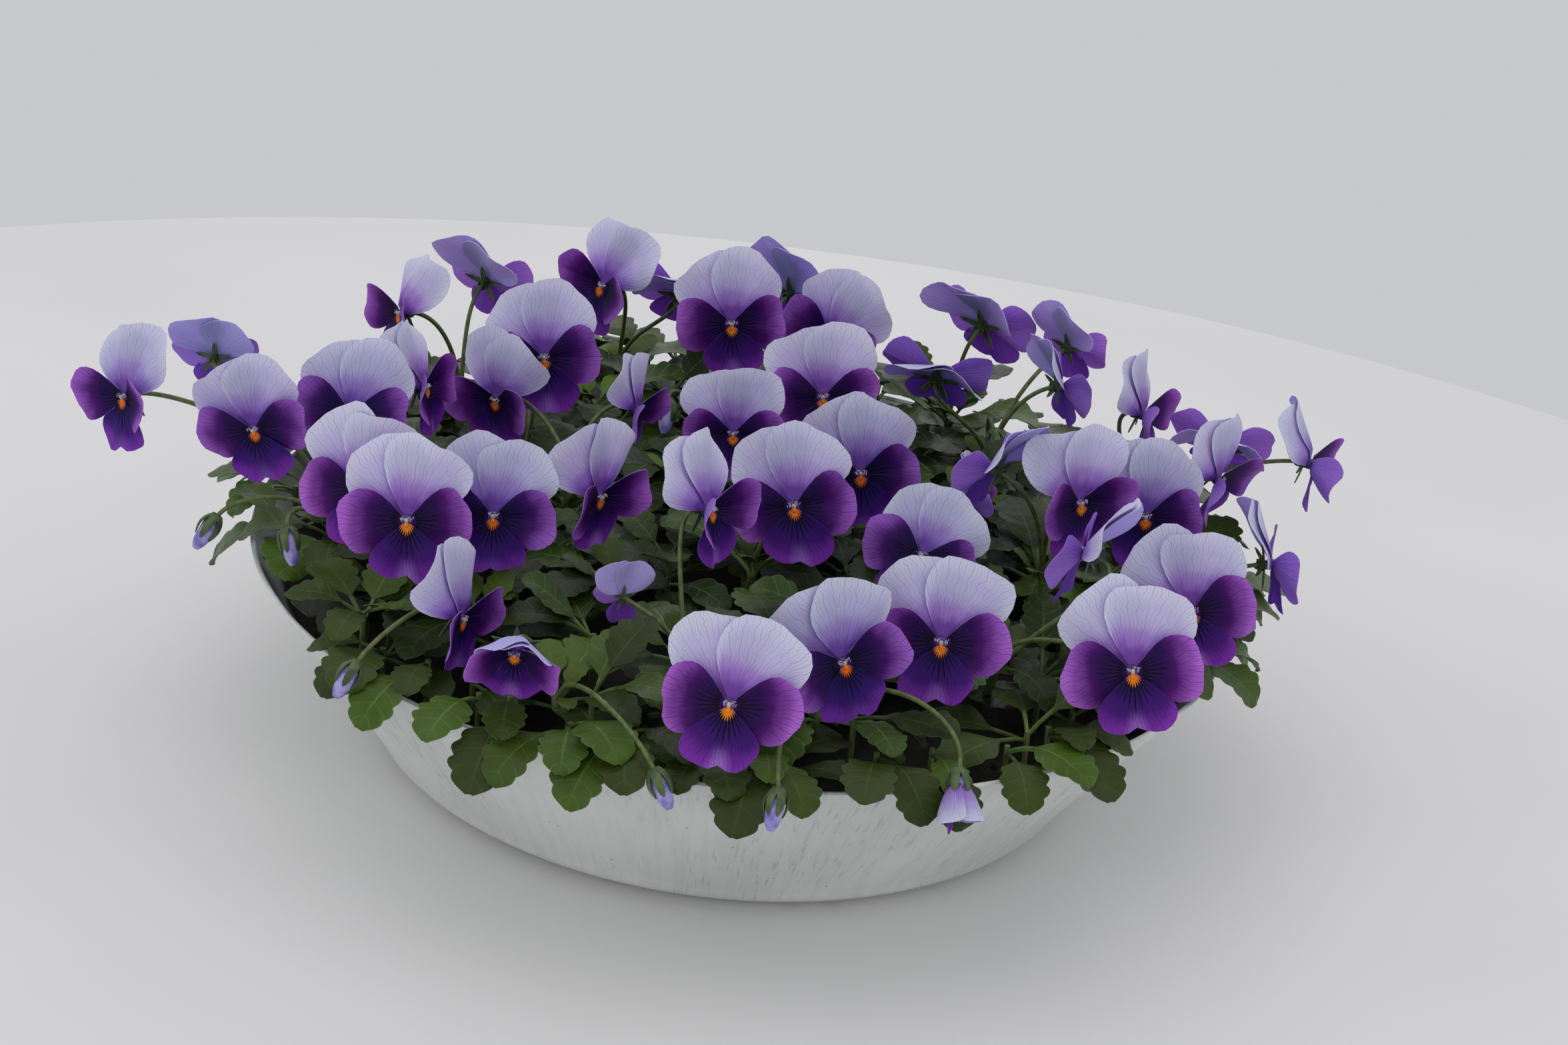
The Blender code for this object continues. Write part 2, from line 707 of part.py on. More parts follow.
def bud_direction(bud):
    turn = math.radians(bud[3])
    return np.array((math.sin(turn) * BUD_LEAN, -math.cos(turn) * BUD_LEAN, -BUD_FALL))


def bud_points(bud):
    top = np.array(bud[:3]) / 1000
    return top + np.linspace(0, BUD_LENGTH, 7)[:, None] * bud_direction(bud)


# Leaves


def leaf_shape(root, azimuth, rise, droop, size):
    """(outline, rib) of a leaf whose midline leaves its root at an angle and arcs over by droop."""
    length = (PETIOLE + LEAF_LENGTH) * size
    ahead = np.array((math.cos(azimuth), math.sin(azimuth), 0.0))
    left = np.array((-math.sin(azimuth), math.cos(azimuth), 0.0))
    upward = np.array((0.0, 0.0, 1.0))

    def place(along, across):
        bent = droop / length
        slope = rise - bent * along
        out = (math.sin(rise) - math.sin(slope)) / bent
        lift = (math.cos(slope) - math.cos(rise)) / bent
        normal = math.cos(slope) * upward - math.sin(slope) * ahead
        half = across * LEAF_HALF_WIDTH * size
        return root + out * ahead + lift * upward + half * left + LEAF_FOLD * abs(half) * normal

    stations = [(0.0, LEAF_ROOT)]
    stations += [((PETIOLE + share * LEAF_LENGTH) * size, half) for share, half in LEAF_SIDE]
    right_side = [place(along, -half) for along, half in stations]
    left_side = [place(along, half) for along, half in reversed(stations)]
    outline = right_side + [place(length, 0.0)] + left_side
    rib = [place(0.0, 0.0)]
    rib += [place((PETIOLE + share * LEAF_LENGTH) * size, 0.0) for share in LEAF_RIB]
    return np.array(outline), np.array(rib)


def leaf_samples(outline, rib):
    """Points over a leaf's blade and along its stalk, short of its root."""
    sides = outline[1:-1]
    halfway = (sides + rib[np.array(LEAF_OWNERS)[1:-1]]) / 2
    neck = outline[1] / 2 + outline[-2] / 2
    stalk = [rib[0] + (neck - rib[0]) * share for share in (0.4, 0.75)]
    midline = [rib[1], (rib[1] + rib[2]) / 2, rib[2]]
    return np.concatenate([sides, (sides[1:] + sides[:-1]) / 2, halfway[1:-1], midline, stalk])


def fits(samples, plant, places, petals, filled, leaves):
    """Whether a leaf stays in its plant's ground, above soil and rim, and clear of blooms, of other
    plants' stalks and of the leaves borne so far."""
    if ground_margin(samples, plant, places).min() < GROUND_MARGIN:
        return False
    reach = np.hypot(samples[:, 0], samples[:, 1])
    inside = reach < RIM_RADIUS
    soil = np.array([soil_top(x, y) for x, y, _ in samples])
    if (samples[inside, 2] < soil[inside] + SOIL_MARGIN).any():
        return False
    over_rim = np.abs(reach - RIM_RADIUS) < RIM_BAND
    if (samples[over_rim, 2] < BOWL_HEIGHT + RIM_MARGIN).any():
        return False
    outside = reach > RIM_RADIUS
    if (samples[outside, 2] < LOWEST_LEAF).any():
        return False
    own = leaves + [points for owner, points in filled if owner == plant]
    if clear_of(samples, np.concatenate(own)) < LEAF_APART:
        return False
    others = np.concatenate([points for owner, points in filled if owner != plant])
    return min(clear_of(samples, petals), clear_of(samples, others)) > PLANTS_APART


def grow_leaves(tips, places, petals, filled):
    """[(plant, outline, rib)]. Each shoot bears a rosette; a leaf that would cross a bloom, another
    plant or the bowl turns aside and lifts until it is clear, or isn't borne."""
    draws = np.random.default_rng(31).random((SHOOTS, LEAVES_PER_SHOOT, 4))
    leaves = []
    borne = [[] for _ in places]
    for k, (tip, plant) in enumerate(tips):
        outward = math.atan2(tip[1], tip[0])
        edge = min(1.0, math.hypot(tip[0], tip[1]) / SHOOT_SPREAD)
        for n in range(LEAVES_PER_SHOOT):
            a, b, c, d = draws[k, n]
            azimuth = outward + 2 * math.pi * n / LEAVES_PER_SHOOT + (a - 0.5) * LEAF_STRAY
            facing_out = max(0.0, math.cos(azimuth - outward)) * edge
            rise = math.radians(LEAF_RISE[0] + LEAF_RISE[1] * b + LEAF_RISE[2] * facing_out)
            droop = math.radians(LEAF_DROOP[0] + LEAF_DROOP[1] * c + LEAF_DROOP[2] * facing_out)
            size = LEAF_SIZES[0] + LEAF_SIZES[1] * d
            height = LEAF_HEIGHTS[0] + LEAF_HEIGHTS[1] * ((2 * n) % LEAVES_PER_SHOOT)
            for turn, lift in LEAF_WAYS:
                turned_to = azimuth + math.radians(turn)
                start = (math.cos(turned_to) * LEAF_START, math.sin(turned_to) * LEAF_START, height)
                shape = leaf_shape(tip + start, turned_to, rise + math.radians(lift), droop, size)
                samples = leaf_samples(*shape)
                if fits(samples, plant, places, petals, filled, borne[plant]):
                    leaves.append((plant, *shape))
                    borne[plant].append(samples)
                    break
    return leaves


# The plants


def make_stalk(path, row):
    """A stalk with its bloom's calyx, or with a closed bud."""
    radii = [STALK_RADIUS] * len(path)
    if len(row) > 4:
        up = bloom_axes(*row[3:6])[1]
        return [tube("stalk", tube_rings(path, radii, up), "viola_leaf", calyx_tip(row))]
    along = bud_direction(row)
    ends = path[-1] - BUD_ROOT * along, path[-1] + BUD_LENGTH * along
    bud = spindle("bud", *ends, BUD_RADIUS, BUD_WIDEST, 5, "viola_leaf")
    rings = tube_rings(path, radii, np.array((1.0, 0.0, 0.0)))
    return [tube("stalk", rings, "viola_leaf"), bud]


def make_shoot(tip, place):
    """A creeping shoot that swells at its tip into the bud which the leaves' stalks spring from."""
    path = shoot_path(tip, place)
    path[-1] -= (0, 0, TIP_BUD_BELOW)
    radii = [SHOOT_RADIUS] * (len(path) - 1) + [TIP_BUD_RADIUS]
    rings = tube_rings(path, radii, np.array((1.0, 0.0, 0.0)), 4)
    point = [tip + (0, 0, TIP_BUD_ABOVE)], [(0, 1, 4), (1, 2, 4), (2, 3, 4), (3, 0, 4)]
    return tube("shoot", rings, "viola_leaf", point)


def make_plant(name, number, places, tips, stalks, leaves):
    top = soil_top(*places[number])
    low = top - CROWN_DEPTH + CLEARANCE
    pieces = [post("crown", places[number], low, top + CROWN_ABOVE, CROWN_RADIUS)]
    for tip, plant in tips:
        if plant == number:
            pieces.append(make_shoot(tip, places[number]))
    for plant, path, row in stalks:
        if plant == number:
            pieces += make_stalk(path, row)
    for plant, outline, rib in leaves:
        if plant == number:
            pieces.append(
                blade("leaf", outline, rib, LEAF_OWNERS, LEAF_HALF_THICKNESS, "viola_leaf")
            )
    return joined(name, pieces)


def main():
    clear_scene()
    places = crowns()
    make_bowl()
    make_soil(places)
    tips = shoot_tips(places)
    stalks, filled, petals = grow_stalks(tips, places)
    leaves = grow_leaves(tips, places, petals, filled)
    for number in range(len(places)):
        make_plant("plant_%d" % (number + 1), number, places, tips, stalks, leaves)
    for number, bloom in enumerate(BLOOMS):
        make_bloom("bloom_%02d" % (number + 1), bloom)


main()
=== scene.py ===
import math

import bpy
import numpy as np
from mathutils import Matrix, Vector


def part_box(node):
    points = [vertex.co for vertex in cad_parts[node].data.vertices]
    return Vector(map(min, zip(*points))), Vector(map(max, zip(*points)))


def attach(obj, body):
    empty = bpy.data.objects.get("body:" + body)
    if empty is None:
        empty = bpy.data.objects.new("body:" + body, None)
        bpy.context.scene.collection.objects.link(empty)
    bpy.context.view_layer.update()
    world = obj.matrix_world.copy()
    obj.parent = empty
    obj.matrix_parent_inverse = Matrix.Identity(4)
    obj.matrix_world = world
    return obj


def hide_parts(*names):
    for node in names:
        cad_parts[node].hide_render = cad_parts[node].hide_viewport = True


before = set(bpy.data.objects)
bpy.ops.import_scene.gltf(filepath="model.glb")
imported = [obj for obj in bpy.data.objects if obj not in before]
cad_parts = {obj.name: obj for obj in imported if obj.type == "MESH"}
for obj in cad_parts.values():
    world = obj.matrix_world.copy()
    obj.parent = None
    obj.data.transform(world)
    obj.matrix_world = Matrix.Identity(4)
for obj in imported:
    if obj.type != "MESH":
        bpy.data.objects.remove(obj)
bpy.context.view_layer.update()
potLow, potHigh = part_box("bowl")
print("frame loaded:", len(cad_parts), "nodes")

# The planting, in metres: the same layout as the solids, so that every finer piece lies where its solid lies
planting = {
    "potHeight": round(potHigh.z, 4),
    "rimRadius": round((potHigh.x - potLow.x) / 2 - 0.0006, 4),  # less the rim's overhang
    "soilDrop": 0.014, "soilCrown": 0.006,
    "ringPlants": 7, "ringRadius": 0.112, "ringTurn": 0.25, "crownRadius": 0.0055, "crownAbove": 0.006,
    "shoots": 31, "shootSpread": 0.166, "canopyMiddle": 0.014, "canopyEdge": 0.004,
    "leavesPerShoot": 5, "goldenAngle": math.radians(137.508), "tipMargin": 0.005, "tipStep": 0.1,
}

# Petals, in millimetres and degrees: direction, length, half fan, side trim, trim power, layer, slope, notch
petalKinds = (
    ("upper", 114, 28.0, 44, 0.34, 3.0, -1.5, -0.08, 0.0),
    ("upper", 66, 28.0, 44, 0.34, 3.0, -0.7, -0.04, 0.0),
    ("side", 179, 21.5, 43, 0.32, 3.0, 0.3, 0.05, 0.0),
    ("side", 1, 21.5, 43, 0.32, 3.0, 0.3, 0.05, 0.0),
    ("lower", -90, 20.5, 48, 0.22, 4.0, 1.0, 0.10, 0.10),
)

# Blooms: x, y, z of the throat in millimetres; yaw, pitch and roll in degrees; size; how far the upper petals
# sweep back and the side petals fold forward, in degrees
blooms = (
    (-140, 66, 128, -55, 0, 5, 0.85, 25, 25),
    (-112, 108, 130, 155, 15, 0, 0.90, 20, 10),
    (-97, 18, 118, -28, -8, 5, 0.90, 10, 25),
    (-82, 32, 131, 4, 12, 10, 1.00, 5, 0),
    (-68, 116, 130, -42, 5, -8, 0.95, 10, 25),
    (-45, 10, 124, 72, -12, 0, 0.75, 15, 25),
    (-38, 131, 126, 178, 25, 0, 1.00, 35, 15),
    (-16, 92, 130, 8, 6, 7, 1.00, 5, 5),
    (6, 140, 128, 150, 10, 0, 0.95, 15, 10),
    (22, 106, 124, -14, 4, -20, 0.95, 5, 5),
    (8, 64, 116, -75, -10, 0, 0.75, 25, 15),
    (64, 66, 130, 172, 30, 5, 1.00, 35, 15),
    (82, 122, 132, 150, 20, 0, 1.00, 25, 10),
    (112, 80, 126, 115, 5, 0, 0.80, 20, 15),
    (116, 118, 128, 140, 10, 0, 0.75, 15, 10),
    (144, 70, 122, 70, 0, 0, 0.85, 10, 30),
    (172, 47, 124, 168, 30, 5, 0.95, 35, 15),
    (204, 32, 126, 82, -5, 0, 0.90, 30, 35),
    (-219, -58, 134, -38, 0, 10, 0.92, 10, 25),
    (-201, 18, 122, 178, 10, 0, 0.75, 15, 10),
    (-174, -54, 126, -4, -8, 18, 0.94, 0, 0),
    (-144, -28, 125, -4, 28, 0, 1.00, 0, 0),
    (-122, 2, 126, 78, 8, 0, 0.90, 15, 20),
    (-132, -82, 121, -14, 8, 8, 1.00, 0, 0),
    (-113, -103, 121, 4, 14, 5, 1.04, 0, 0),
    (-85, -91, 121, -3, 10, 4, 0.98, 5, 0),
    (-51, -71, 124, 55, -8, 0, 0.95, 10, 20),
    (-9, 8, 120, 0, 10, 6, 0.88, 0, 10),
    (22, 34, 128, 4, 12, 6, 0.98, 0, 0),
    (38, -28, 126, 12, 10, 6, 1.00, 0, 5),
    (16, -70, 129, 0, 12, 14, 1.02, 0, 0),
    (-12, -98, 136, 62, 8, 0, 0.95, 10, 35),
    (62, -66, 114, -10, 34, -10, 0.96, 0, 5),
    (70, -126, 111, 0, 12, 2, 1.04, 0, 5),
    (38, -150, 111, 24, 8, 18, 1.00, 0, 15),
    (3, -182, 107, -4, 16, -2, 1.06, 0, 0),
    (134, -130, 111, 0, 14, 12, 1.08, 0, 0),
    (156, -80, 112, 6, 14, 14, 1.04, 0, 0),
    (186, -40, 116, 100, 6, 0, 0.92, 15, 15),
    (116, -82, 130, -112, 8, 0, 0.92, 20, 15),
    (141, -24, 121, 0, 8, 4, 0.98, 0, 0),
    (168, 6, 126, 60, -20, 10, 0.92, 15, 25),
    (116, -37, 129, 34, 4, 0, 0.98, 5, 20),
    (84, -34, 137, -125, 10, 0, 0.84, 20, 15),
    (79, -8, 114, 85, 0, 0, 0.58, 5, 50),
    (-38, -108, 105, -150, -10, 0, 0.48, 0, 55),
    (-89, -134, 102, 66, -8, 0, 0.90, 20, 20),
    (-68, -164, 107, 4, -22, 0, 0.90, -58, 40),
)

# Closed buds: x, y, z in millimetres and the way each faces in degrees
buds = (
    (79, -172, 88, 20),
    (22, -193, 84, -10),
    (-18, -190, 84, 60),
    (-120, -156, 92, -50),
    (-184, -64, 95, -60),
    (-158, -68, 96, 30),
    (88, 60, 112, 40),
    (-36, 66, 106, 0),
)


# Surfaces as whole arrays


def unit(vectors):  # each vector divided by its length
    return vectors / (np.linalg.norm(vectors, axis=-1, keepdims=True) + 1e-15)


def circle(sides):  # evenly spaced turns, from 0 round to just before 0 again
    return np.linspace(0, 2 * math.pi, sides, endpoint=False)


def heading(turn, reach=1.0, height=0.0):  # a level direction, or a point a reach away in it
    return np.array((reach * math.cos(turn), reach * math.sin(turn), height))


def smooth(value, low, high):  # 0 below low, 1 above high, and an even S between them
    share = np.clip((value - low) / (high - low), 0.0, 1.0)
    return share * share * (3 - 2 * share)


def bezier(controls, steps):  # the cubic curve through four control points, as steps + 1 points
    t = np.linspace(0, 1, steps + 1)[:, None]
    a, b, c, d = (np.array(point, float) for point in controls)
    return (1 - t) ** 3 * a + 3 * t * (1 - t) ** 2 * b + 3 * t**2 * (1 - t) * c + t**3 * d


def gridQuads(rows, columns):  # faces between neighbours in a grid of points, and the points' numbers
    index = np.arange(rows * columns).reshape(rows, columns)
    corners = (index[:-1, :-1], index[1:, :-1], index[1:, 1:], index[:-1, 1:])
    return np.stack(corners, -1).reshape(-1, 4), index


def shell(middle, half):
    # A closed thin sheet: each grid point moved along the sheet's normal by half, and back by half,
    # with a strip of quads that joins both faces round the rim
    rows, columns = middle.shape[:2]
    normal = unit(np.cross(np.gradient(middle, axis=0), np.gradient(middle, axis=1)))
    offset = normal * np.broadcast_to(half, (rows, columns))[..., None]
    points = np.concatenate([(middle + offset).reshape(-1, 3), (middle - offset).reshape(-1, 3)])
    quads, index = gridQuads(rows, columns)
    border = np.concatenate([index[0, :-1], index[:-1, -1], index[-1, :0:-1], index[:0:-1, 0]])
    after, total = np.roll(border, -1), rows * columns
    rim = np.stack([border, after, after + total, border + total], -1)
    return points, [quads, quads[:, ::-1] + total, rim]


def ringFaces(count, sides):  # quads between closed rings, and a fan to a pole at each end
    index = np.arange(count * sides).reshape(count, sides)
    after = np.roll(index, -1, axis=1)
    quads = np.stack([index[:-1], after[:-1], after[1:], index[1:]], -1).reshape(-1, 4)
    first = np.stack([np.full(sides, count * sides), after[0], index[0]], -1)
    last = np.stack([np.full(sides, count * sides + 1), index[-1], after[-1]], -1)
    return [quads, first, last]


def tube(path, radii, sides):
    # Rings round each point of a path, one radius a ring, turned from the direction that the whole path
    # leans towards least, and closed by a pole at each end
    path = np.asarray(path, float)
    radii = np.broadcast_to(radii, len(path))[:, None, None]
    along = unit(np.gradient(path, axis=0))
    lean = np.linalg.svd(along)[2][-1]
    across = unit(lean - along * (along @ lean)[:, None])
    other = np.cross(along, across)
    turns = circle(sides)[None, :, None]
    rings = path[:, None] + radii * (np.cos(turns) * across[:, None] + np.sin(turns) * other[:, None])
    return np.concatenate([rings.reshape(-1, 3), path[:1], path[-1:]]), ringFaces(len(path), sides)


def knob(centre, tip, radius, rows, sides):
    # An egg round the line from centre - tip to centre + tip: the radius follows the sine of the way along
    turn = np.linspace(0.12, math.pi - 0.12, rows)
    path = np.asarray(centre) - np.cos(turn)[:, None] * np.asarray(tip)
    return tube(path, radius * np.sin(turn), sides)


def turned(radii, heights, sides):
    # A profile of radii and heights turned about Z, from a pole on the axis to another; the outside runs up
    turns = circle(sides)
    rings = np.stack([radii[:, None] * np.cos(turns), radii[:, None] * np.sin(turns),
                      np.broadcast_to(heights[:, None], (len(radii), sides))], -1)
    poles = np.array(((0, 0, heights[0]), (0, 0, heights[-1])))
    return np.concatenate([rings.reshape(-1, 3), poles]), ringFaces(len(radii), sides)


class Heap:  # gathers surfaces into one mesh, with the attributes that its materials read
    def __init__(self):
        self.points, self.faces, self.slots = [], [], []
        self.place, self.tone, self.back = [], [], []
        self.count = 0

    def add(self, surface, slot, place=None, tone=0.5, back=0.0):
        points, faces = surface
        total = len(points)
        self.points.append(points)
        self.faces += [block + self.count for block in faces]
        self.slots += [np.full(len(block), slot) for block in faces]
        self.place.append(np.zeros((total, 3)) if place is None else place.reshape(-1, 3))
        self.tone.append(np.broadcast_to(tone, total))
        self.back.append(np.broadcast_to(back, total))
        self.count += total

    def addShell(self, middle, half, slot, place, tone):  # one place for both faces; back tells them apart
        surface = shell(middle, half)
        total = len(surface[0]) // 2
        both = np.concatenate([place.reshape(-1, 3), place.reshape(-1, 3)])
        self.add(surface, slot, both, tone, np.repeat((0.0, 1.0), total))

    def build(self, name, materials):
        points = np.concatenate(self.points)
        sizes = np.concatenate([np.full(len(block), block.shape[1]) for block in self.faces])
        corners = np.concatenate([block.ravel() for block in self.faces])
        mesh = bpy.data.meshes.new(name)
        mesh.vertices.add(len(points))
        mesh.loops.add(len(corners))
        mesh.polygons.add(len(sizes))
        mesh.vertices.foreach_set("co", points.astype(np.float32).ravel())
        mesh.loops.foreach_set("vertex_index", corners.astype(np.int32))
        mesh.polygons.foreach_set("loop_start", (np.cumsum(sizes) - sizes).astype(np.int32))
        mesh.polygons.foreach_set("material_index", np.concatenate(self.slots).astype(np.int32))
        mesh.update(calc_edges=True)
        place = mesh.attributes.new("place", "FLOAT_VECTOR", "POINT")
        place.data.foreach_set("vector", np.concatenate(self.place).astype(np.float32).ravel())
        for label, values in (("tone", self.tone), ("back", self.back)):
            held = mesh.attributes.new(label, "FLOAT", "POINT")
            held.data.foreach_set("value", np.concatenate(values).astype(np.float32))
        mesh.shade_smooth()
        mesh.set_sharp_from_angle(angle=math.radians(48))
        for material in materials:
            mesh.materials.append(material)
        piece = bpy.data.objects.new(name, mesh)
        bpy.context.scene.collection.objects.link(piece)
        return piece


# Materials


class Paint:  # one Principled material, and short ways to write its node formulas
    def __init__(self, name, roughness, **settings):
        self.material = bpy.data.materials.new(name)
        self.material.use_nodes = True
        self.tree = self.material.node_tree
        self.shader = self.tree.nodes["Principled BSDF"]
        self.set("Roughness", roughness)
        for label, value in settings.items():
            self.set(label.replace("_", " "), value)

    def put(self, socket, value):  # a link from another socket, or a plain value
        if hasattr(value, "is_output"):
            self.tree.links.new(value, socket)
        else:
            socket.default_value = value

    def set(self, label, value):
        self.put(self.shader.inputs[label], value)

    def node(self, kind, inputs=(), **settings):
        made = self.tree.nodes.new(kind)
        for label, value in settings.items():
            setattr(made, label, value)
        for key, value in inputs:
            self.put(made.inputs[key], value)
        return made

    def math(self, operation, a, b=0.0, c=0.0):
        made = self.node("ShaderNodeMath", ((0, a), (1, b), (2, c)), operation=operation)
        return made.outputs[0]

    def times(self, a, b):
        return self.math("MULTIPLY", a, b)

    def less(self, value):
        return self.math("SUBTRACT", 1.0, value)

    def step(self, value, low, high):  # a smooth step of a socket between two numbers
        keys = (("Value", value), ("From Min", low), ("From Max", high))
        return self.node("ShaderNodeMapRange", keys, interpolation_type="SMOOTHSTEP").outputs[0]

    def fall(self, value, low, high):  # 1 below low, 0 above high
        return self.less(self.step(value, low, high))

    def mix(self, share, a, b):  # a and b are sockets or display colours
        keys = ((0, share), (6, asColour(a)), (7, asColour(b)))
        return self.node("ShaderNodeMix", keys, data_type="RGBA").outputs[2]

    def attribute(self, name):
        return self.node("ShaderNodeAttribute", attribute_name=name)

    def place(self):  # the three numbers of the place attribute
        split = self.node("ShaderNodeSeparateXYZ", ((0, self.attribute("place").outputs["Vector"]),))
        return split.outputs[0], split.outputs[1], split.outputs[2]

    def number(self, name):
        return self.attribute(name).outputs["Fac"]

    def objectPlace(self):
        return self.node("ShaderNodeTexCoord").outputs["Object"]

    def vector(self, x, y, z):
        return self.node("ShaderNodeCombineXYZ", ((0, x), (1, y), (2, z))).outputs[0]

    def stretch(self, vector, scale):
        keys = (("Vector", vector), ("Scale", scale))
        return self.node("ShaderNodeMapping", keys).outputs[0]

    def noise(self, vector, scale, detail=2.0, roughness=0.5):
        keys = (("Vector", vector), ("Scale", scale), ("Detail", detail), ("Roughness", roughness))
        return self.node("ShaderNodeTexNoise", keys).outputs["Fac"]

    def cells(self, vector, scale):  # distance to the nearest cell's edge
        keys = (("Vector", vector), ("Scale", scale))
        return self.node("ShaderNodeTexVoronoi", keys, feature="DISTANCE_TO_EDGE").outputs["Distance"]

    def bump(self, height, distance, strength=1.0):
        keys = (("Height", height), ("Distance", distance), ("Strength", strength))
        self.set("Normal", self.node("ShaderNodeBump", keys).outputs[0])

    def lines(self, value, spacing):  # 0 on lines that lie a spacing apart, rising to half a spacing between
        return self.math("PINGPONG", value, spacing / 2)

    def vary(self, tint, value, hue=0.5):  # scales a colour's brightness and shifts its hue
        keys = (("Color", tint), ("Value", value), ("Hue", hue))
        return self.node("ShaderNodeHueSaturation", keys).outputs[0]

    def shade(self, tint, amount, scale, vector):  # lightens and darkens a colour by low, broad noise
        fac = self.noise(vector, scale, 3.0)
        return self.vary(tint, self.math("MULTIPLY_ADD", fac, 2 * amount, 1 - amount))


def colour(red, green, blue):  # a display colour, 0 to 255, as the shader's linear one
    share = np.array((red, green, blue)) / 255
    linear = np.where(share <= 0.04045, share / 12.92, ((share + 0.055) / 1.055) ** 2.4)
    return (*(float(value) for value in linear), 1.0)


def asColour(value):  # a display colour becomes the shader's; a socket stays as it is
    return colour(*value) if isinstance(value, tuple) else value


petalPaint = {
    "roughness": 0.6, "sheen": 0.12, "through": 0.5, "throughScale": 0.0012, "throughRadius": (1.0, 0.7, 1.0),
    "veinSpacing": 0.165, "backVeins": 0.30, "whiskerSpacing": 0.19, "whisker": (10, 4, 30),
    "streak": (176, 138, 220), "streakStrength": 0.60, "orange": (255, 132, 8),
    # each kind's colour at the throat, then bands from where one begins to where it is full, in millimetres
    # from the throat, or for the edge in shares of the length; its veins, its back and its whiskers' reach
    "upper": {"throat": (112, 68, 160), "bands": ((5.0, 11.0, (156, 124, 200)), (9.0, 19.0, (192, 189, 225))),
              "edge": (0.72, 1.0, (208, 208, 235)), "vein": (114, 84, 174), "veins": 0.30,
              "back": (174, 170, 234)},
    "side": {"throat": (29, 8, 66), "bands": ((9.0, 17.0, (82, 22, 114)), (13.0, 23.0, (172, 106, 210))),
             "vein": (56, 12, 96), "veins": 0.45, "back": (158, 122, 216), "whiskers": 12.0},
    "lower": {"throat": (38, 12, 90), "bands": ((6.0, 13.0, (58, 22, 112)), (12.5, 20.0, (120, 48, 166))),
              "vein": (36, 10, 90), "veins": 0.35, "back": (112, 70, 180), "whiskers": 14.0},
}


def petalVeins(paint, turn, reach, spacing):
    # Fine lines that run out from the throat, wander a little, and fork twice on their way to the edge
    drift = paint.noise(paint.vector(turn, paint.times(reach, 0.10), paint.number("tone")), 3.0, 2.0)
    bent = paint.math("MULTIPLY_ADD", drift, 0.16, turn)
    coarse = paint.times(paint.lines(bent, spacing), reach)
    fine = paint.times(paint.lines(paint.math("ADD", bent, spacing / 2), spacing), reach)
    finest = paint.times(paint.lines(paint.math("ADD", bent, spacing / 4), spacing / 2), reach)
    first = paint.fall(coarse, 0.06, 0.38)
    second = paint.times(paint.fall(fine, 0.05, 0.32), paint.step(reach, 8.0, 12.0))
    third = paint.times(paint.fall(finest, 0.04, 0.28), paint.step(reach, 13.0, 17.0))
    both = paint.math("MAXIMUM", first, paint.times(second, 0.8))
    return paint.math("MAXIMUM", both, paint.times(third, 0.55))


def addWhiskers(paint, face, turn, reach, longest):
    # Dark strokes that radiate from the eye and taper to points, shorter towards the petal's sides
    aside = paint.math("ABSOLUTE", turn)
    distance = paint.times(paint.lines(turn, petalPaint["whiskerSpacing"]), reach)
    outwards = paint.math("MULTIPLY_ADD", aside, 6.0, reach)
    width = paint.math("MULTIPLY_ADD", outwards, -0.42 / longest, 0.54)
    ink = paint.fall(paint.math("DIVIDE", distance, width), 0.75, 1.25)
    ends = paint.fall(outwards, longest * 0.8, longest)
    starts = paint.step(reach, 2.6, 3.6)
    return paint.mix(paint.times(paint.times(ink, ends), starts), face, petalPaint["whisker"])


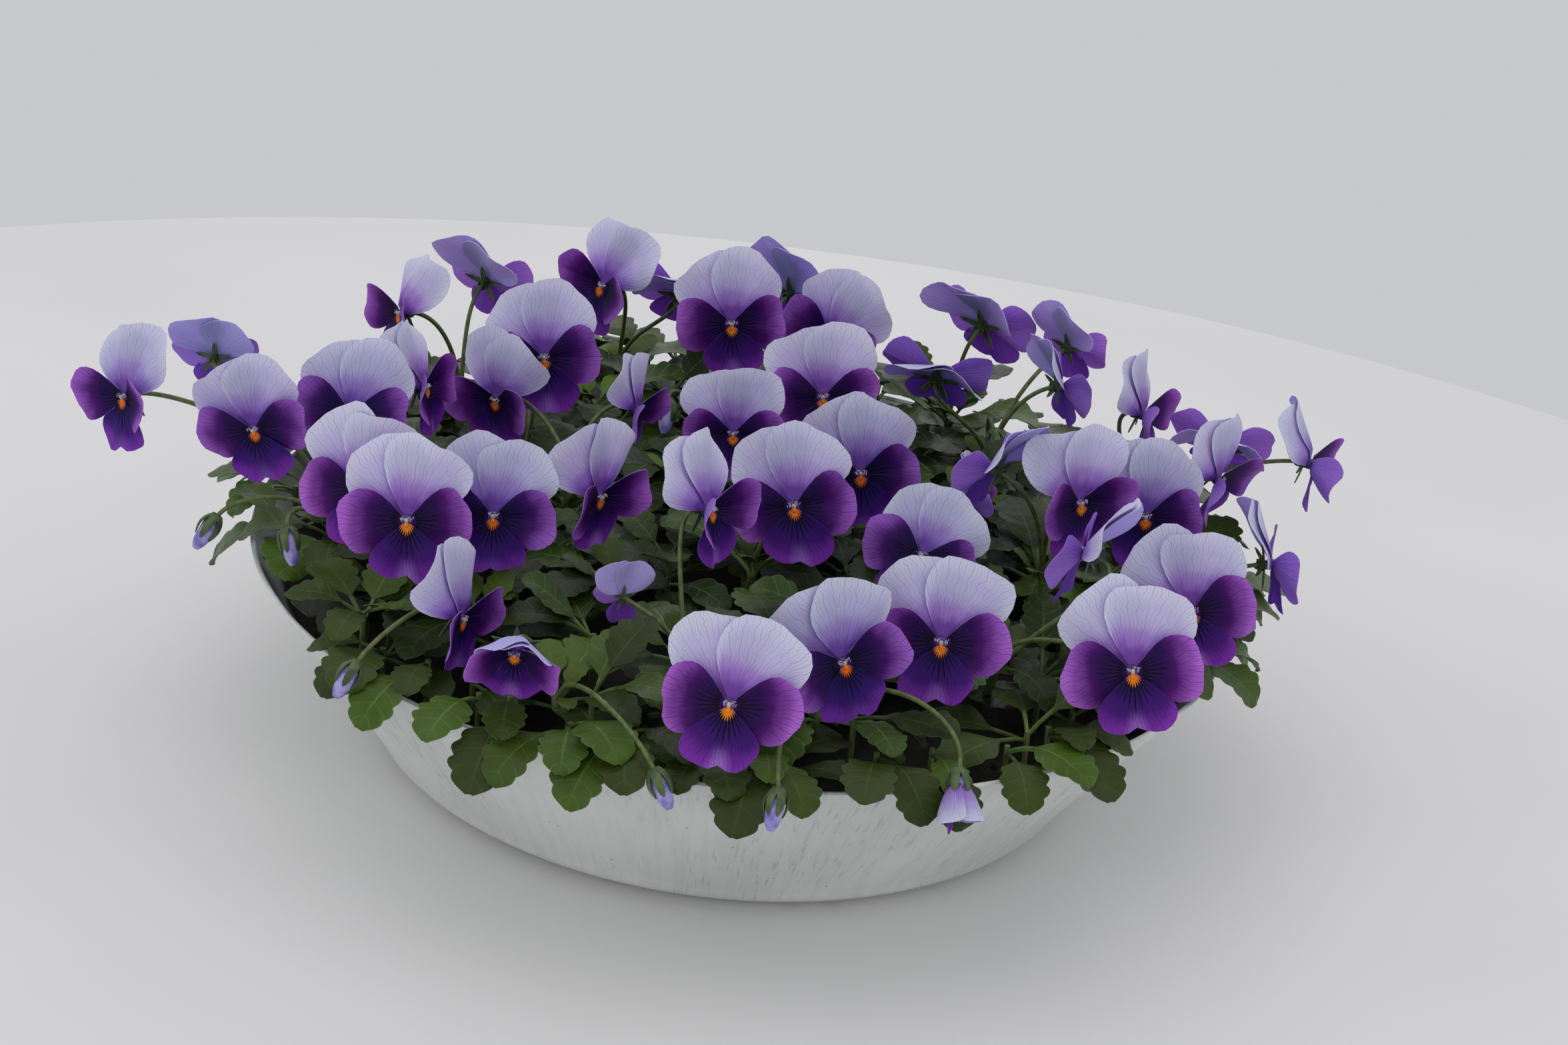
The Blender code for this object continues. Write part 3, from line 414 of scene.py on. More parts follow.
def petalMaterial(kind):
    # place holds: turn from the petal's middle, millimetres from the throat, and share of the length. Bands
    # of colour wander with broad noise. Over them lie veins, on all but the upper petals whiskers, and on the
    # lower one a streak and the eye.
    paint = Paint(kind + "Petal", petalPaint["roughness"])
    paint.set("Specular IOR Level", petalPaint["sheen"])
    paint.set("Subsurface Weight", petalPaint["through"])
    paint.set("Subsurface Radius", petalPaint["throughRadius"])
    paint.set("Subsurface Scale", petalPaint["throughScale"])
    own = petalPaint[kind]
    turn, reach, share = paint.place()
    tone = paint.number("tone")
    patch = paint.noise(paint.vector(turn, paint.times(reach, 0.07), tone), 2.2, 2.0)
    wander = paint.math("MULTIPLY_ADD", patch, 6.0, paint.math("SUBTRACT", reach, 3.0))
    veins = petalVeins(paint, turn, reach, petalPaint["veinSpacing"])
    face = own["throat"]
    for low, high, tint in own["bands"]:
        face = paint.mix(paint.step(wander, low, high), face, tint)
    if kind == "upper":
        low, high, tint = own["edge"]
        face = paint.mix(paint.step(share, low, high), face, tint)
    if kind == "lower":  # a pale streak up the middle
        middle = paint.fall(paint.math("ABSOLUTE", turn), 0.02, 0.26)
        streak = paint.times(middle, paint.step(reach, 11.0, 18.5))
        strength = paint.times(tone, petalPaint["streakStrength"])
        face = paint.mix(paint.times(streak, strength), face, petalPaint["streak"])
    face = paint.mix(paint.times(veins, own["veins"]), face, own["vein"])
    if kind != "upper":
        face = addWhiskers(paint, face, turn, reach, own["whiskers"])
    if kind == "lower":  # the orange eye, with a fringe where the whiskers start
        fringe = paint.times(paint.lines(turn, petalPaint["whiskerSpacing"]), 24.0)
        aside = paint.times(paint.math("ABSOLUTE", turn), 2.2)
        eye = paint.math("SUBTRACT", paint.math("ADD", reach, aside), fringe)
        face = paint.mix(paint.fall(eye, 2.7, 3.2), face, petalPaint["orange"])
    back = paint.mix(paint.times(veins, petalPaint["backVeins"]), own["back"], own["vein"])
    shown = paint.mix(paint.number("back"), face, back)
    hue = paint.math("MULTIPLY_ADD", tone, 0.022, 0.489)
    paint.set("Base Color", paint.vary(shown, paint.math("MULTIPLY_ADD", tone, 0.16, 0.92), hue))
    grain = paint.noise(paint.vector(turn, paint.times(reach, 0.02), tone), 60.0, 2.0)
    paint.bump(paint.math("MULTIPLY_ADD", veins, -0.6, paint.times(grain, 0.5)), 0.00012, 0.7)
    return paint.material


leafPaint = {
    "roughness": 0.36, "sheen": 0.24, "deep": (32, 49, 18), "fresh": (88, 114, 26), "rib": (118, 140, 76),
    "edge": (106, 130, 64), "under": (72, 92, 56), "sideVeins": 5.0,
    "sideStrength": 0.16, "edgeStrength": 0.30, "ribStrength": 0.65, "stalkStrength": 0.70,
    "underStrength": 0.3,
    "values": (0.90, 0.40), "hues": (0.03, 0.485),  # what the tone attribute's square and the tone itself do
}


def leafMaterial():
    # place holds: share along the blade, -1 to 1 across it, and the share of the fresh green, which is higher
    # at each rosette's heart and towards the rim; place below 0 is the leaf's stalk
    paint = Paint("leafBlade", leafPaint["roughness"])
    paint.set("Specular IOR Level", leafPaint["sheen"])
    along, across, fresh = paint.place()
    tone = paint.number("tone")
    aside = paint.math("ABSOLUTE", across)
    spot = paint.objectPlace()
    body = paint.shade(paint.mix(fresh, leafPaint["deep"], leafPaint["fresh"]), 0.30, 120.0, spot)
    rib = paint.times(paint.fall(aside, 0.02, 0.07), paint.math("SUBTRACT", 1.05, along))
    bent = paint.math("MULTIPLY_ADD", aside, -0.17, along)
    side = paint.times(paint.lines(bent, 1.0 / leafPaint["sideVeins"]), leafPaint["sideVeins"])
    side = paint.fall(side, 0.02, 0.10)
    edge = paint.step(aside, 0.93, 0.995)
    stalk = paint.fall(along, -0.04, 0.06)
    for name, mask, tint in (("side", side, "rib"), ("edge", edge, "edge"), ("rib", rib, "rib"),
                             ("stalk", stalk, "rib")):
        body = paint.mix(paint.times(mask, leafPaint[name + "Strength"]), body, leafPaint[tint])
    low = paint.math("MAXIMUM", side, rib)
    under = paint.mix(paint.times(low, leafPaint["underStrength"]), leafPaint["under"], leafPaint["rib"])
    shown = paint.mix(paint.number("back"), body, under)
    value = paint.math("MULTIPLY_ADD", paint.times(tone, tone), *leafPaint["values"])
    hue = paint.math("MULTIPLY_ADD", tone, *leafPaint["hues"])
    paint.set("Base Color", paint.vary(shown, value, hue))
    net = paint.step(paint.cells(spot, 700.0), 0.0, 0.12)
    paint.bump(paint.math("MULTIPLY_ADD", low, -0.5, paint.times(net, 0.20)), 0.00025, 0.6)
    return paint.material


def stemMaterial(name, low, high, roughness):
    # Soft green that shifts along the stem in long, faint streaks
    paint = Paint(name, roughness)
    spot = paint.objectPlace()
    streaks = paint.noise(paint.stretch(spot, (1.0, 1.0, 0.25)), 420.0, 3.0)
    body = paint.mix(paint.step(streaks, 0.35, 0.65), low, high)
    paint.set("Base Color", paint.shade(body, 0.15, 60.0, spot))
    paint.bump(streaks, 0.00015, 0.5)
    return paint.material


def plainMaterial(name, dark, light, roughness, scale, relief):
    # A mottled colour with a little relief, for the small parts of a bloom and for buds
    paint = Paint(name, roughness)
    spot = paint.objectPlace()
    mottle = paint.noise(spot, scale, 3.0)
    paint.set("Base Color", paint.mix(paint.step(mottle, 0.35, 0.65), dark, light))
    paint.bump(mottle, relief, 0.6)
    return paint.material


soilPaint = {"dark": (22, 18, 14), "light": (48, 39, 30), "roughness": 0.95}


def soilMaterial():  # fine noise that both lightens and lifts the crumbs
    paint = Paint("pottingSoil", soilPaint["roughness"])
    spot = paint.objectPlace()
    crumbs = paint.noise(spot, 260.0, 6.0, 0.7)
    paint.set("Base Color", paint.mix(paint.step(crumbs, 0.40, 0.70), soilPaint["dark"], soilPaint["light"]))
    paint.bump(crumbs, 0.0012, 0.9)
    return paint.material


zincPaint = {
    "roughness": 0.46, "rougher": 0.15, "metallic": 0.12, "light": (220, 223, 219), "dull": (206, 210, 207),
    "stain": (164, 170, 168), "speck": (96, 98, 92), "rust": (160, 126, 98),
    "runs": 0.13, "worn": 0.55, "specks": 0.7, "rusty": 0.6,  # how strong each mark is
}


def zincMaterial():
    # Weathered galvanised sheet: faint runs and short streaks up the wall, dark specks, rust by the foot
    paint = Paint("galvanisedSheet", 0.5, Metallic=zincPaint["metallic"])
    spot = paint.objectPlace()
    height = paint.node("ShaderNodeSeparateXYZ", ((0, spot),)).outputs[2]
    drawn = paint.attribute("place").outputs["Vector"]
    runs = paint.noise(paint.stretch(drawn, (1.0, 1.0, 0.10)), 300.0, 4.0, 0.55)
    clouds = paint.noise(spot, 13.0, 3.0, 0.5)
    marks = paint.noise(paint.stretch(drawn, (1.0, 1.0, 0.12)), 900.0, 3.0, 0.6)
    grains = paint.node("ShaderNodeTexVoronoi", (("Vector", spot), ("Scale", 150.0))).outputs["Distance"]
    worn = paint.times(paint.step(marks, 0.54, 0.68), paint.step(clouds, 0.38, 0.60))
    specks = paint.times(paint.fall(grains, 0.06, 0.11), paint.step(paint.noise(spot, 40.0, 2.0), 0.56, 0.66))
    foot = paint.fall(height, 0.0015, 0.010)
    rust = paint.times(foot, paint.step(paint.noise(spot, 90.0, 4.0, 0.7), 0.56, 0.68))
    body = paint.mix(paint.step(clouds, 0.35, 0.70), zincPaint["light"], zincPaint["dull"])
    for mask, strength, tint in ((paint.step(runs, 0.42, 0.66), "runs", "stain"), (worn, "worn", "stain"),
                                 (specks, "specks", "speck"), (rust, "rusty", "rust")):
        body = paint.mix(paint.times(mask, zincPaint[strength]), body, zincPaint[tint])
    paint.set("Base Color", body)
    paint.set("Roughness", paint.math("MULTIPLY_ADD", runs, zincPaint["rougher"], zincPaint["roughness"]))
    paint.bump(paint.math("ADD", runs, paint.times(marks, 0.4)), 0.00010, 0.3)
    return paint.material


def floorMaterial():
    # Pale, matt and nearly even, with faint clouds
    paint = Paint("paleFloor", 0.8)
    clouds = paint.noise(paint.objectPlace(), 3.0, 3.0)
    body = paint.mix(paint.step(clouds, 0.3, 0.7), studio["floorDull"], studio["floorLight"])
    paint.set("Base Color", body)
    return paint.material


# Layout: crowns, shoots, stalks and leaves, by the same rule as the solids


def soilTop(x, y):
    # The soil's height falls from its crown to the rim as the square of the reach, with low sine lumps
    reach = np.hypot(x, y) / planting["rimRadius"]
    lumps = 0.0012 * np.sin(61 * x + 1.3) * np.cos(53 * y - 0.4)
    rise = (planting["soilCrown"] + lumps) * np.maximum(0.0, 1 - reach * reach)
    return planting["potHeight"] - planting["soilDrop"] + rise


def crowns():  # one plant in the middle and a ring round it
    turns = 2 * math.pi * (np.arange(planting["ringPlants"]) + planting["ringTurn"]) / planting["ringPlants"]
    ring = planting["ringRadius"] * np.stack([np.cos(turns), np.sin(turns)], -1)
    return np.concatenate([np.zeros((1, 2)), ring])


def bloomAxes(yaw, pitch, roll):  # the right, up and facing directions of a bloom
    yaw, pitch, roll = map(math.radians, (yaw, pitch, roll))
    facing = np.array((math.sin(yaw) * math.cos(pitch), -math.cos(yaw) * math.cos(pitch), math.sin(pitch)))
    level = heading(yaw)
    right = math.cos(roll) * level + math.sin(roll) * np.cross(facing, level)
    return right, np.cross(facing, right), facing


def inBloom(bloom, local):  # millimetres to the right, up and forward of a bloom's throat, as metres
    x, y, z, yaw, pitch, roll, size = bloom[:7]
    offset = np.asarray(local, float) @ np.array(bloomAxes(yaw, pitch, roll)) * size / 1000
    return np.array((x, y, z)) / 1000 + offset


plainForm = {  # the solids' plain petals, calyxes and buds, in millimetres
    "rows": (0.35, 0.68, 1.0), "columns": (-1.0, -0.62, -0.22, 0.22, 0.62, 1.0), "wave": 0.3,
    "notchWidth": 0.16, "root": 2.8, "sweepStart": 7.0, "foldStart": 4.0,
    "throat": ((0, 0, 0), (0, 0, 2.0), (0, 0, 4.0)), "calyx": ((6.2, 4.3), (3.1, 3.8)),
    "stalkEnd": -3.3, "budLean": 0.55, "budDrop": 0.835, "budLength": 13,
}


def placePetal(bloom, number, angle, reach, extra):
    # A petal's points: it stands in its layer and slopes, and past a start it bends as a whole: an upper one
    # sweeps back, a side one folds forward
    kind, layer, slope = petalKinds[number][0], *petalKinds[number][6:8]
    start = plainForm["sweepStart" if kind == "upper" else "foldStart"]
    bend = {"upper": -bloom[7], "side": bloom[8], "lower": 0}[kind]
    past = np.maximum(reach - start, 0)
    flat = reach - past * (1 - math.cos(math.radians(bend)))
    lift = past * math.sin(math.radians(bend))
    forward = layer * np.minimum(reach / plainForm["root"], 1) + slope * reach + lift
    for more in extra:
        forward = forward + more
    return inBloom(bloom, np.stack([flat * np.cos(angle), flat * np.sin(angle), forward], -1))


def petalPhase(bloom, number):  # sets each petal's waves apart
    return bloom[0] * 0.13 + bloom[1] * 0.07 + number * 2.3


def petalSamples(bloom):  # points over the five plain petals and the throat, which other things keep clear of
    u, v = (grid.ravel() for grid in np.meshgrid(plainForm["rows"], plainForm["columns"]))
    found = []
    for number, (_, direction, length, halfFan, trim, power, _, _, notch) in enumerate(petalKinds):
        angle = math.radians(direction) + v * math.radians(halfFan)
        dent = notch * np.exp(-((v / plainForm["notchWidth"]) ** 2))
        reach = length * (1 - trim * np.abs(v) ** power - dent) * u
        wave = plainForm["wave"] * u**3 * np.sin(3.1 * v + petalPhase(bloom, number))
        found.append(placePetal(bloom, number, angle, reach, (wave,)))
    return np.concatenate([*found, inBloom(bloom, plainForm["throat"])])


def groundMargin(points, own, places):  # how far points lie inside a plant's own ground
    points = np.atleast_2d(points)[:, :2]
    ownSquare = ((points - places[own]) ** 2).sum(1)
    margins = [(((points - place) ** 2).sum(1) - ownSquare) / (2 * np.linalg.norm(place - places[own]))
               for k, place in enumerate(places) if k != own]
    return np.min(margins, axis=0)


def shootTips(places):  # (tip, plant) of each leafy shoot, spread as seeds are in a sunflower
    tips = []
    for k in range(planting["shoots"]):
        reach = planting["shootSpread"] * math.sqrt((k + 0.6) / planting["shoots"])
        tip = heading(k * planting["goldenAngle"], reach)[:2]
        plant = int(np.argmin(np.linalg.norm(places - tip, axis=1)))
        while groundMargin(tip, plant, places)[0] < planting["tipMargin"]:
            tip = tip + (places[plant] - tip) * planting["tipStep"]
        edge = (reach / planting["rimRadius"]) ** 2
        rise = planting["canopyMiddle"] + (planting["canopyEdge"] - planting["canopyMiddle"]) * edge
        tips.append((np.array((*tip, planting["potHeight"] + rise)), plant))
    return tips


def shootPath(tip, place, steps=2):  # leaves the crown low over the soil and turns up at its tip
    base = soilTop(*place) + planting["crownAbove"] * 0.5
    along = tip[:2] - place
    controls = ((*(place + along * 0.02), base), (*(place + along * 0.4), base + 0.004),
                (*(place + along * 0.85), soilTop(tip[0], tip[1]) + 0.005), tip)
    return bezier(controls, steps)


def clearOf(points, obstacles):  # the least distance, or a metre where nothing stands in the way
    if not len(obstacles):
        return 1.0
    return float(np.linalg.norm(points[:, None, :] - obstacles[None, :, :], axis=2).min())


def stalkPoints(path):  # a path's points, with three more between each two
    return np.concatenate([np.linspace(a, b, 5)[:-1] for a, b in zip(path, path[1:])] + [path[-1:]])


def budDirection(bud):  # the way a bud hangs: down, and out to where it faces
    turn = math.radians(bud[3])
    lean = plainForm["budLean"]
    return np.array((math.sin(turn) * lean, -math.cos(turn) * lean, -plainForm["budDrop"]))


def bodyPoints(row):  # points round a bloom's calyx, or down a bud
    if len(row) == 4:
        share = np.linspace(0, plainForm["budLength"] / 1000, 7)[:, None]
        return np.array(row[:3]) / 1000 + share * budDirection(row)
    turns = np.radians(90 + 36 * np.arange(10))
    ring = np.stack([np.cos(turns), np.sin(turns), np.zeros(10)], -1)
    rings = [ring * radius - (0, 0, depth) for radius, depth in plainForm["calyx"]]
    return inBloom(row, np.concatenate(rings))


routeForm = {  # lengths in metres, counts, and shares of the stalk's reach or of its bow
    "bows": (0.0, 0.006, 0.012, 0.018), "sides": 8, "clear": 0.006, "bowCost": 0.12, "reachCost": 0.05,
    "starts": 4, "rise": 0.42, "arrival": 0.015, "arrivalShare": 0.45, "lateBow": 0.6,
}


def stalkRoute(starts, end, arrive, obstacles):
    # (plant, controls) of the stalk that keeps furthest from what isn't its own: it springs from one of the
    # nearest shoots, bows to one side or another, and arrives from behind the bloom
    best, bestScore = None, -9.0
    for start, plant in starts:
        reach = float(np.linalg.norm(end - start))
        for bow in routeForm["bows"]:
            for turn in range(1 if bow == 0 else routeForm["sides"]):
                side = heading(turn * 2 * math.pi / routeForm["sides"], bow)
                behind = min(routeForm["arrival"], routeForm["arrivalShare"] * reach)
                controls = (start, start + np.array((0, 0, routeForm["rise"] * reach)) + side,
                            end - arrive * behind + side * routeForm["lateBow"], end)
                clear = clearOf(bezier(controls, 20)[:-3], obstacles[plant])
                cost = routeForm["bowCost"] * bow
                score = min(clear, routeForm["clear"]) - cost - routeForm["reachCost"] * reach
                if score > bestScore:
                    best, bestScore = (plant, controls), score
    return best


def growStalks(tips, places):  # (plant, controls, bloom or bud) of every stalk, and the points they fill
    petals = [petalSamples(bloom) for bloom in blooms]
    filled = [(plant, stalkPoints(shootPath(tip, places[plant])[:-1])) for tip, plant in tips]
    stalks = []
    for row in blooms + buds:
        isBloom = len(row) > 4
        arrive = bloomAxes(*row[3:6])[2] if isBloom else budDirection(row)
        end = inBloom(row, ((0, 0, plainForm["stalkEnd"]),))[0] if isBloom else np.array(row[:3]) / 1000
        starts = sorted(tips, key=lambda tip: np.linalg.norm(tip[0] - end))[:routeForm["starts"]]
        obstacles = {plant: np.concatenate(petals + [points for owner, points in filled if owner != plant])
                     for plant in {plant for _, plant in starts}}
        plant, controls = stalkRoute(starts, end, arrive, obstacles)
        filled.append((plant, np.concatenate([stalkPoints(bezier(controls, 4)), bodyPoints(row)])))
        stalks.append((plant, controls, row))
    return stalks, filled, np.concatenate(petals)


leafForm = {  # metres at size 1; side and rib hold shares of the length and of the half width
    "length": 0.025, "halfWidth": 0.0088, "broader": 1.10, "petiole": 0.011, "fold": 0.16,
    "side": ((0.0, 0.11), (0.26, 0.86), (0.42, 0.72), (0.68, 0.98)), "rib": (0.18, 0.66), "root": 0.055,
    "owners": (0, 0, 1, 2, 2, 2, 2, 2, 1, 0, 0),  # the rib point that each outline point belongs to
    "detail": (36, 7, 4),  # rows, columns and stalk rows
    "halfThickness": 0.00032, "edgeThickness": 0.00012,
    "scallops": 5.0, "scallopDepth": 0.22, "shift": 1.18, "quilt": 0.00030, "wave": 0.0009,
}
leafGrowth = {  # rise, droop and ways (turn and lift to try) in degrees, stray in radians, lengths in metres
    "seed": 31, "start": 0.0004, "stray": 0.4, "rise": (34, 18, -10), "droop": (38, 24, 50),
    "heights": (0.0003, 0.00035), "sizes": (0.86, 0.28),
    "ways": ((0, 0), (22, 4), (-22, 4), (44, 8), (-44, 8), (0, -26), (30, -26), (-30, -26), (60, -20),
             (-60, -20)),
    "inGround": 0.0010, "apart": 0.0022, "clear": 0.0034,
    "overSoil": 0.0015, "overRim": 0.0018, "rimBand": 0.008, "lowest": 0.045,
}


def leafPlace(leaf, along, across):
    # A point of a leaf: its midline leaves the root at an angle and bends over evenly along its length, and
    # the blade stands up from it in a shallow V; along and across are metres
    root, azimuth, rise, droop, size = leaf
    bent = droop / ((leafForm["petiole"] + leafForm["length"]) * size)
    slope = rise - bent * along
    out = ((math.sin(rise) - np.sin(slope)) / bent)[..., None]
    lift = ((np.cos(slope) - math.cos(rise)) / bent)[..., None]
    ahead = heading(azimuth)
    left = np.array((-ahead[1], ahead[0], 0.0))
    upward = np.array((0.0, 0.0, 1.0))
    normal = np.cos(slope)[..., None] * upward - np.sin(slope)[..., None] * ahead
    half = np.asarray(across)[..., None]
    return root + out * ahead + lift * upward + half * left + leafForm["fold"] * np.abs(half) * normal, normal


def leafSamples(leaf):  # points over the plain leaf's blade and along its stalk
    size = leaf[4]

    def reachOf(share):
        return (leafForm["petiole"] + share * leafForm["length"]) * size

    stations = [(0.0, leafForm["root"])] + [(reachOf(share), half) for share, half in leafForm["side"]]
    along = np.array([a for a, _ in stations] + [reachOf(1.0)] + [a for a, _ in reversed(stations)])
    width = leafForm["halfWidth"] * size
    across = np.array([-h * width for _, h in stations] + [0.0] + [h * width for _, h in reversed(stations)])
    outline = leafPlace(leaf, along, across)[0]
    rib = leafPlace(leaf, np.array([0.0] + [reachOf(share) for share in leafForm["rib"]]), np.zeros(3))[0]
    sides = outline[1:-1]
    halfway = (sides + rib[np.array(leafForm["owners"])[1:-1]]) / 2
    stalk = [rib[0] + (outline[1] / 2 + outline[-2] / 2 - rib[0]) * share for share in (0.4, 0.75)]
    midline = [rib[1], (rib[1] + rib[2]) / 2, rib[2]]
    return np.concatenate([sides, (sides[1:] + sides[:-1]) / 2, halfway[1:-1], midline, stalk])


def fits(samples, plant, places, petals, filled, leaves):
    # Whether a leaf stays in its plant's ground, above soil and rim, and clear of all that grew before it
    if groundMargin(samples, plant, places).min() < leafGrowth["inGround"]:
        return False
    x, y, z = samples.T
    reach, rim = np.hypot(x, y), planting["rimRadius"]
    inside, outside, over = reach < rim, reach > rim, np.abs(reach - rim) < leafGrowth["rimBand"]
    if (z[inside] < soilTop(x[inside], y[inside]) + leafGrowth["overSoil"]).any():
        return False
    if (z[over] < planting["potHeight"] + leafGrowth["overRim"]).any():
        return False
    if (z[outside] < leafGrowth["lowest"]).any():
        return False
    own = leaves + [points for owner, points in filled if owner == plant]
    if clearOf(samples, np.concatenate(own)) < leafGrowth["apart"]:
        return False
    others = np.concatenate([points for owner, points in filled if owner != plant])
    return min(clearOf(samples, petals), clearOf(samples, others)) > leafGrowth["clear"]


def growLeaves(tips, places, petals, filled):  # (plant, leaf) of each leaf that finds room
    count = planting["leavesPerShoot"]
    draws = np.random.default_rng(leafGrowth["seed"]).random((planting["shoots"], count, 4))
    leaves, borne = [], [[] for _ in places]
    for k, (tip, plant) in enumerate(tips):
        outward = math.atan2(tip[1], tip[0])
        edge = min(1.0, math.hypot(tip[0], tip[1]) / planting["shootSpread"])
        for n in range(count):
            a, b, c, d = draws[k, n]
            azimuth = outward + 2 * math.pi * n / count + (a - 0.5) * leafGrowth["stray"]
            facingOut = max(0.0, math.cos(azimuth - outward)) * edge
            rise, droop = (math.radians(least + more * draw + out * facingOut) for (least, more, out), draw in
                           ((leafGrowth["rise"], b), (leafGrowth["droop"], c)))
            height = leafGrowth["heights"][0] + leafGrowth["heights"][1] * ((2 * n) % count)
            size = leafGrowth["sizes"][0] + leafGrowth["sizes"][1] * d
            for turn, lift in leafGrowth["ways"]:
                way = azimuth + math.radians(turn)
                root = tip + heading(way, leafGrowth["start"], height)
                leaf = (root, way, rise + math.radians(lift), droop, size)
                samples = leafSamples(leaf)
                if fits(samples, plant, places, petals, filled, borne[plant]):
                    leaves.append((plant, leaf))
                    borne[plant].append(samples)
                    break
    return leaves


places = crowns()
tips = shootTips(places)
stalks, filled, petals = growStalks(tips, places)
leaves = growLeaves(tips, places, petals, filled)
print("layout:", len(stalks), "stalks,", len(leaves), "leaves")


# Leaves that the solids leave out: small ones at each rosette's heart, and low rosettes that hide the soil

fillForm = {
    "seed": 77, "stray": 0.5, "low": (-0.27, -0.24, 0.0), "high": (0.26, 0.22, 0.19), "cell": 0.0013,
    "hearts": 5, "heartSize": 0.50, "heartStart": 0.0012, "heartRise": (46, 18), "heartDroop": (30, 25),
    "rise": (26, -6), "droop": (22, 26, 60),  # degrees that a draw and leaning out add; droop has a base
    "step": 0.0008,  # height from leaf to leaf
    "rimPlaces": 50, "rimRadius": 0.1655, "rimLeaves": 3, "rimSpan": math.radians(80), "rimRise": 22,
    "rimHeights": (-0.001, 0.006), "rimSizes": (0.66, 1.10), "bareRim": ((186, 224), (312, 336)),
    "reach": 0.170, "stride": 37, "offWall": 0.0028, "offSoil": 0.001, "lowest": 0.042,
    "layers": (  # rosettes, leaves in each, most in all, lowest and highest root, sizes, rise, detail
        (53, 6, 125, 0.004, 0.013, 0.72, 1.04, 30, 1),
        (124, 5, 275, -0.005, 0.004, 0.80, 1.12, 14, 2),
    ),
    "detail": ((14, 5, 2), (28, 7, 3), (17, 5, 2)),  # rows, columns and stalk rows of each kind
    "fresh": (0.75, 0.15, 0.0),  # least freshness of each kind
    "ways": ((0, 0), (18, 0), (-18, 0), (0, -14), (30, 10), (-30, 10), (40, -12), (-40, -12), (0, 20)),
}


class Room:  # which cells of the space over the bowl are taken
    def __init__(self, low, high):
        self.low = np.array(low)
        self.taken = np.zeros(np.ceil((np.array(high) - low) / fillForm["cell"]).astype(int), bool)

    def cellsOf(self, points):
        cells = ((points.reshape(-1, 3) - self.low) / fillForm["cell"]).astype(int)
        return np.clip(cells, 1, np.array(self.taken.shape) - 2)

    def take(self, points, wide=False):  # wide takes the 26 cells round each as well
        cells = self.cellsOf(points)
        if wide:
            near = np.stack(np.meshgrid(*[(-1, 0, 1)] * 3), -1).reshape(-1, 3)
            cells = (cells[:, None] + near).reshape(-1, 3)
        self.taken[tuple(cells.T)] = True

    def free(self, points):
        return not self.taken[tuple(self.cellsOf(points).T)].any()


def leafNet(leaf):  # a close net of points over a leaf's blade
    size = leaf[4]
    share, across = np.meshgrid(np.linspace(0.0, 1.0, 16), np.linspace(-0.95, 0.95, 11), indexing="ij")
    width = leafForm["halfWidth"] * size * np.sin(math.pi * np.clip(share, 0.06, 0.94)) ** 0.55
    return leafPlace(leaf, (leafForm["petiole"] + share * leafForm["length"]) * size, across * width)[0]


def clearOfPot(points):  # above the soil, or outside the bowl, and off its wall and rim
    x, y, z = points.reshape(-1, 3).T
    reach = np.hypot(x, y)
    wall = wallRadius(np.clip(z, 0.0, planting["potHeight"]))
    low = z < planting["potHeight"] + fillForm["offWall"] / 2
    beside = (np.abs(reach - wall) < fillForm["offWall"]) & low
    floor = np.where(reach < wall, soilTop(x, y) + fillForm["offSoil"], fillForm["lowest"])
    return not beside.any() and (z > floor).all()


def bear(room, grown, plant, kind, root, azimuth, rise, droop, size):
    # A small leaf turns aside, or lies lower, until nothing is in its way, or isn't borne
    for turn, lift in fillForm["ways"]:
        leaf = (root, azimuth + math.radians(turn), rise + math.radians(lift), droop, size)
        net = leafNet(leaf)
        if clearOfPot(net) and room.free(net):
            room.take(net)
            grown.append((plant, kind, leaf))
            return True
    return False


def takenRoom(stalks, leaves):  # what the blooms, the stalks and the large leaves fill
    room = Room(fillForm["low"], fillForm["high"])
    u, v = np.meshgrid(np.linspace(0.15, 1.0, 14), np.linspace(-1, 1, 14), indexing="ij")
    for bloom in blooms:
        sheets = [petalSheet(bloom, number, u, v)[0].reshape(-1, 3) for number in range(len(petalKinds))]
        room.take(np.concatenate(sheets), True)
    for _, controls, row in stalks:
        room.take(np.concatenate([bezier(controls, 40)[6:], bodyPoints(row)]), True)
    for _, leaf in leaves:
        room.take(leafNet(leaf))
    return room


def growHearts(room, grown, tips, draws):  # small leaves at the heart of each rosette
    count = fillForm["hearts"]
    for tip, plant in tips:
        for n in range(count):
            a, b, c, d = draws.random(4)
            azimuth = 2 * math.pi * (n + 0.5) / count + (a - 0.5) * fillForm["stray"]
            root = tip + heading(azimuth, fillForm["heartStart"], 0.002 + 0.0005 * n)
            rise, droop = (math.radians(least + more * draw) for (least, more), draw in
                           ((fillForm["heartRise"], b), (fillForm["heartDroop"], c)))
            bear(room, grown, plant, 0, root, azimuth, rise, droop, fillForm["heartSize"] * (0.75 + 0.5 * d))


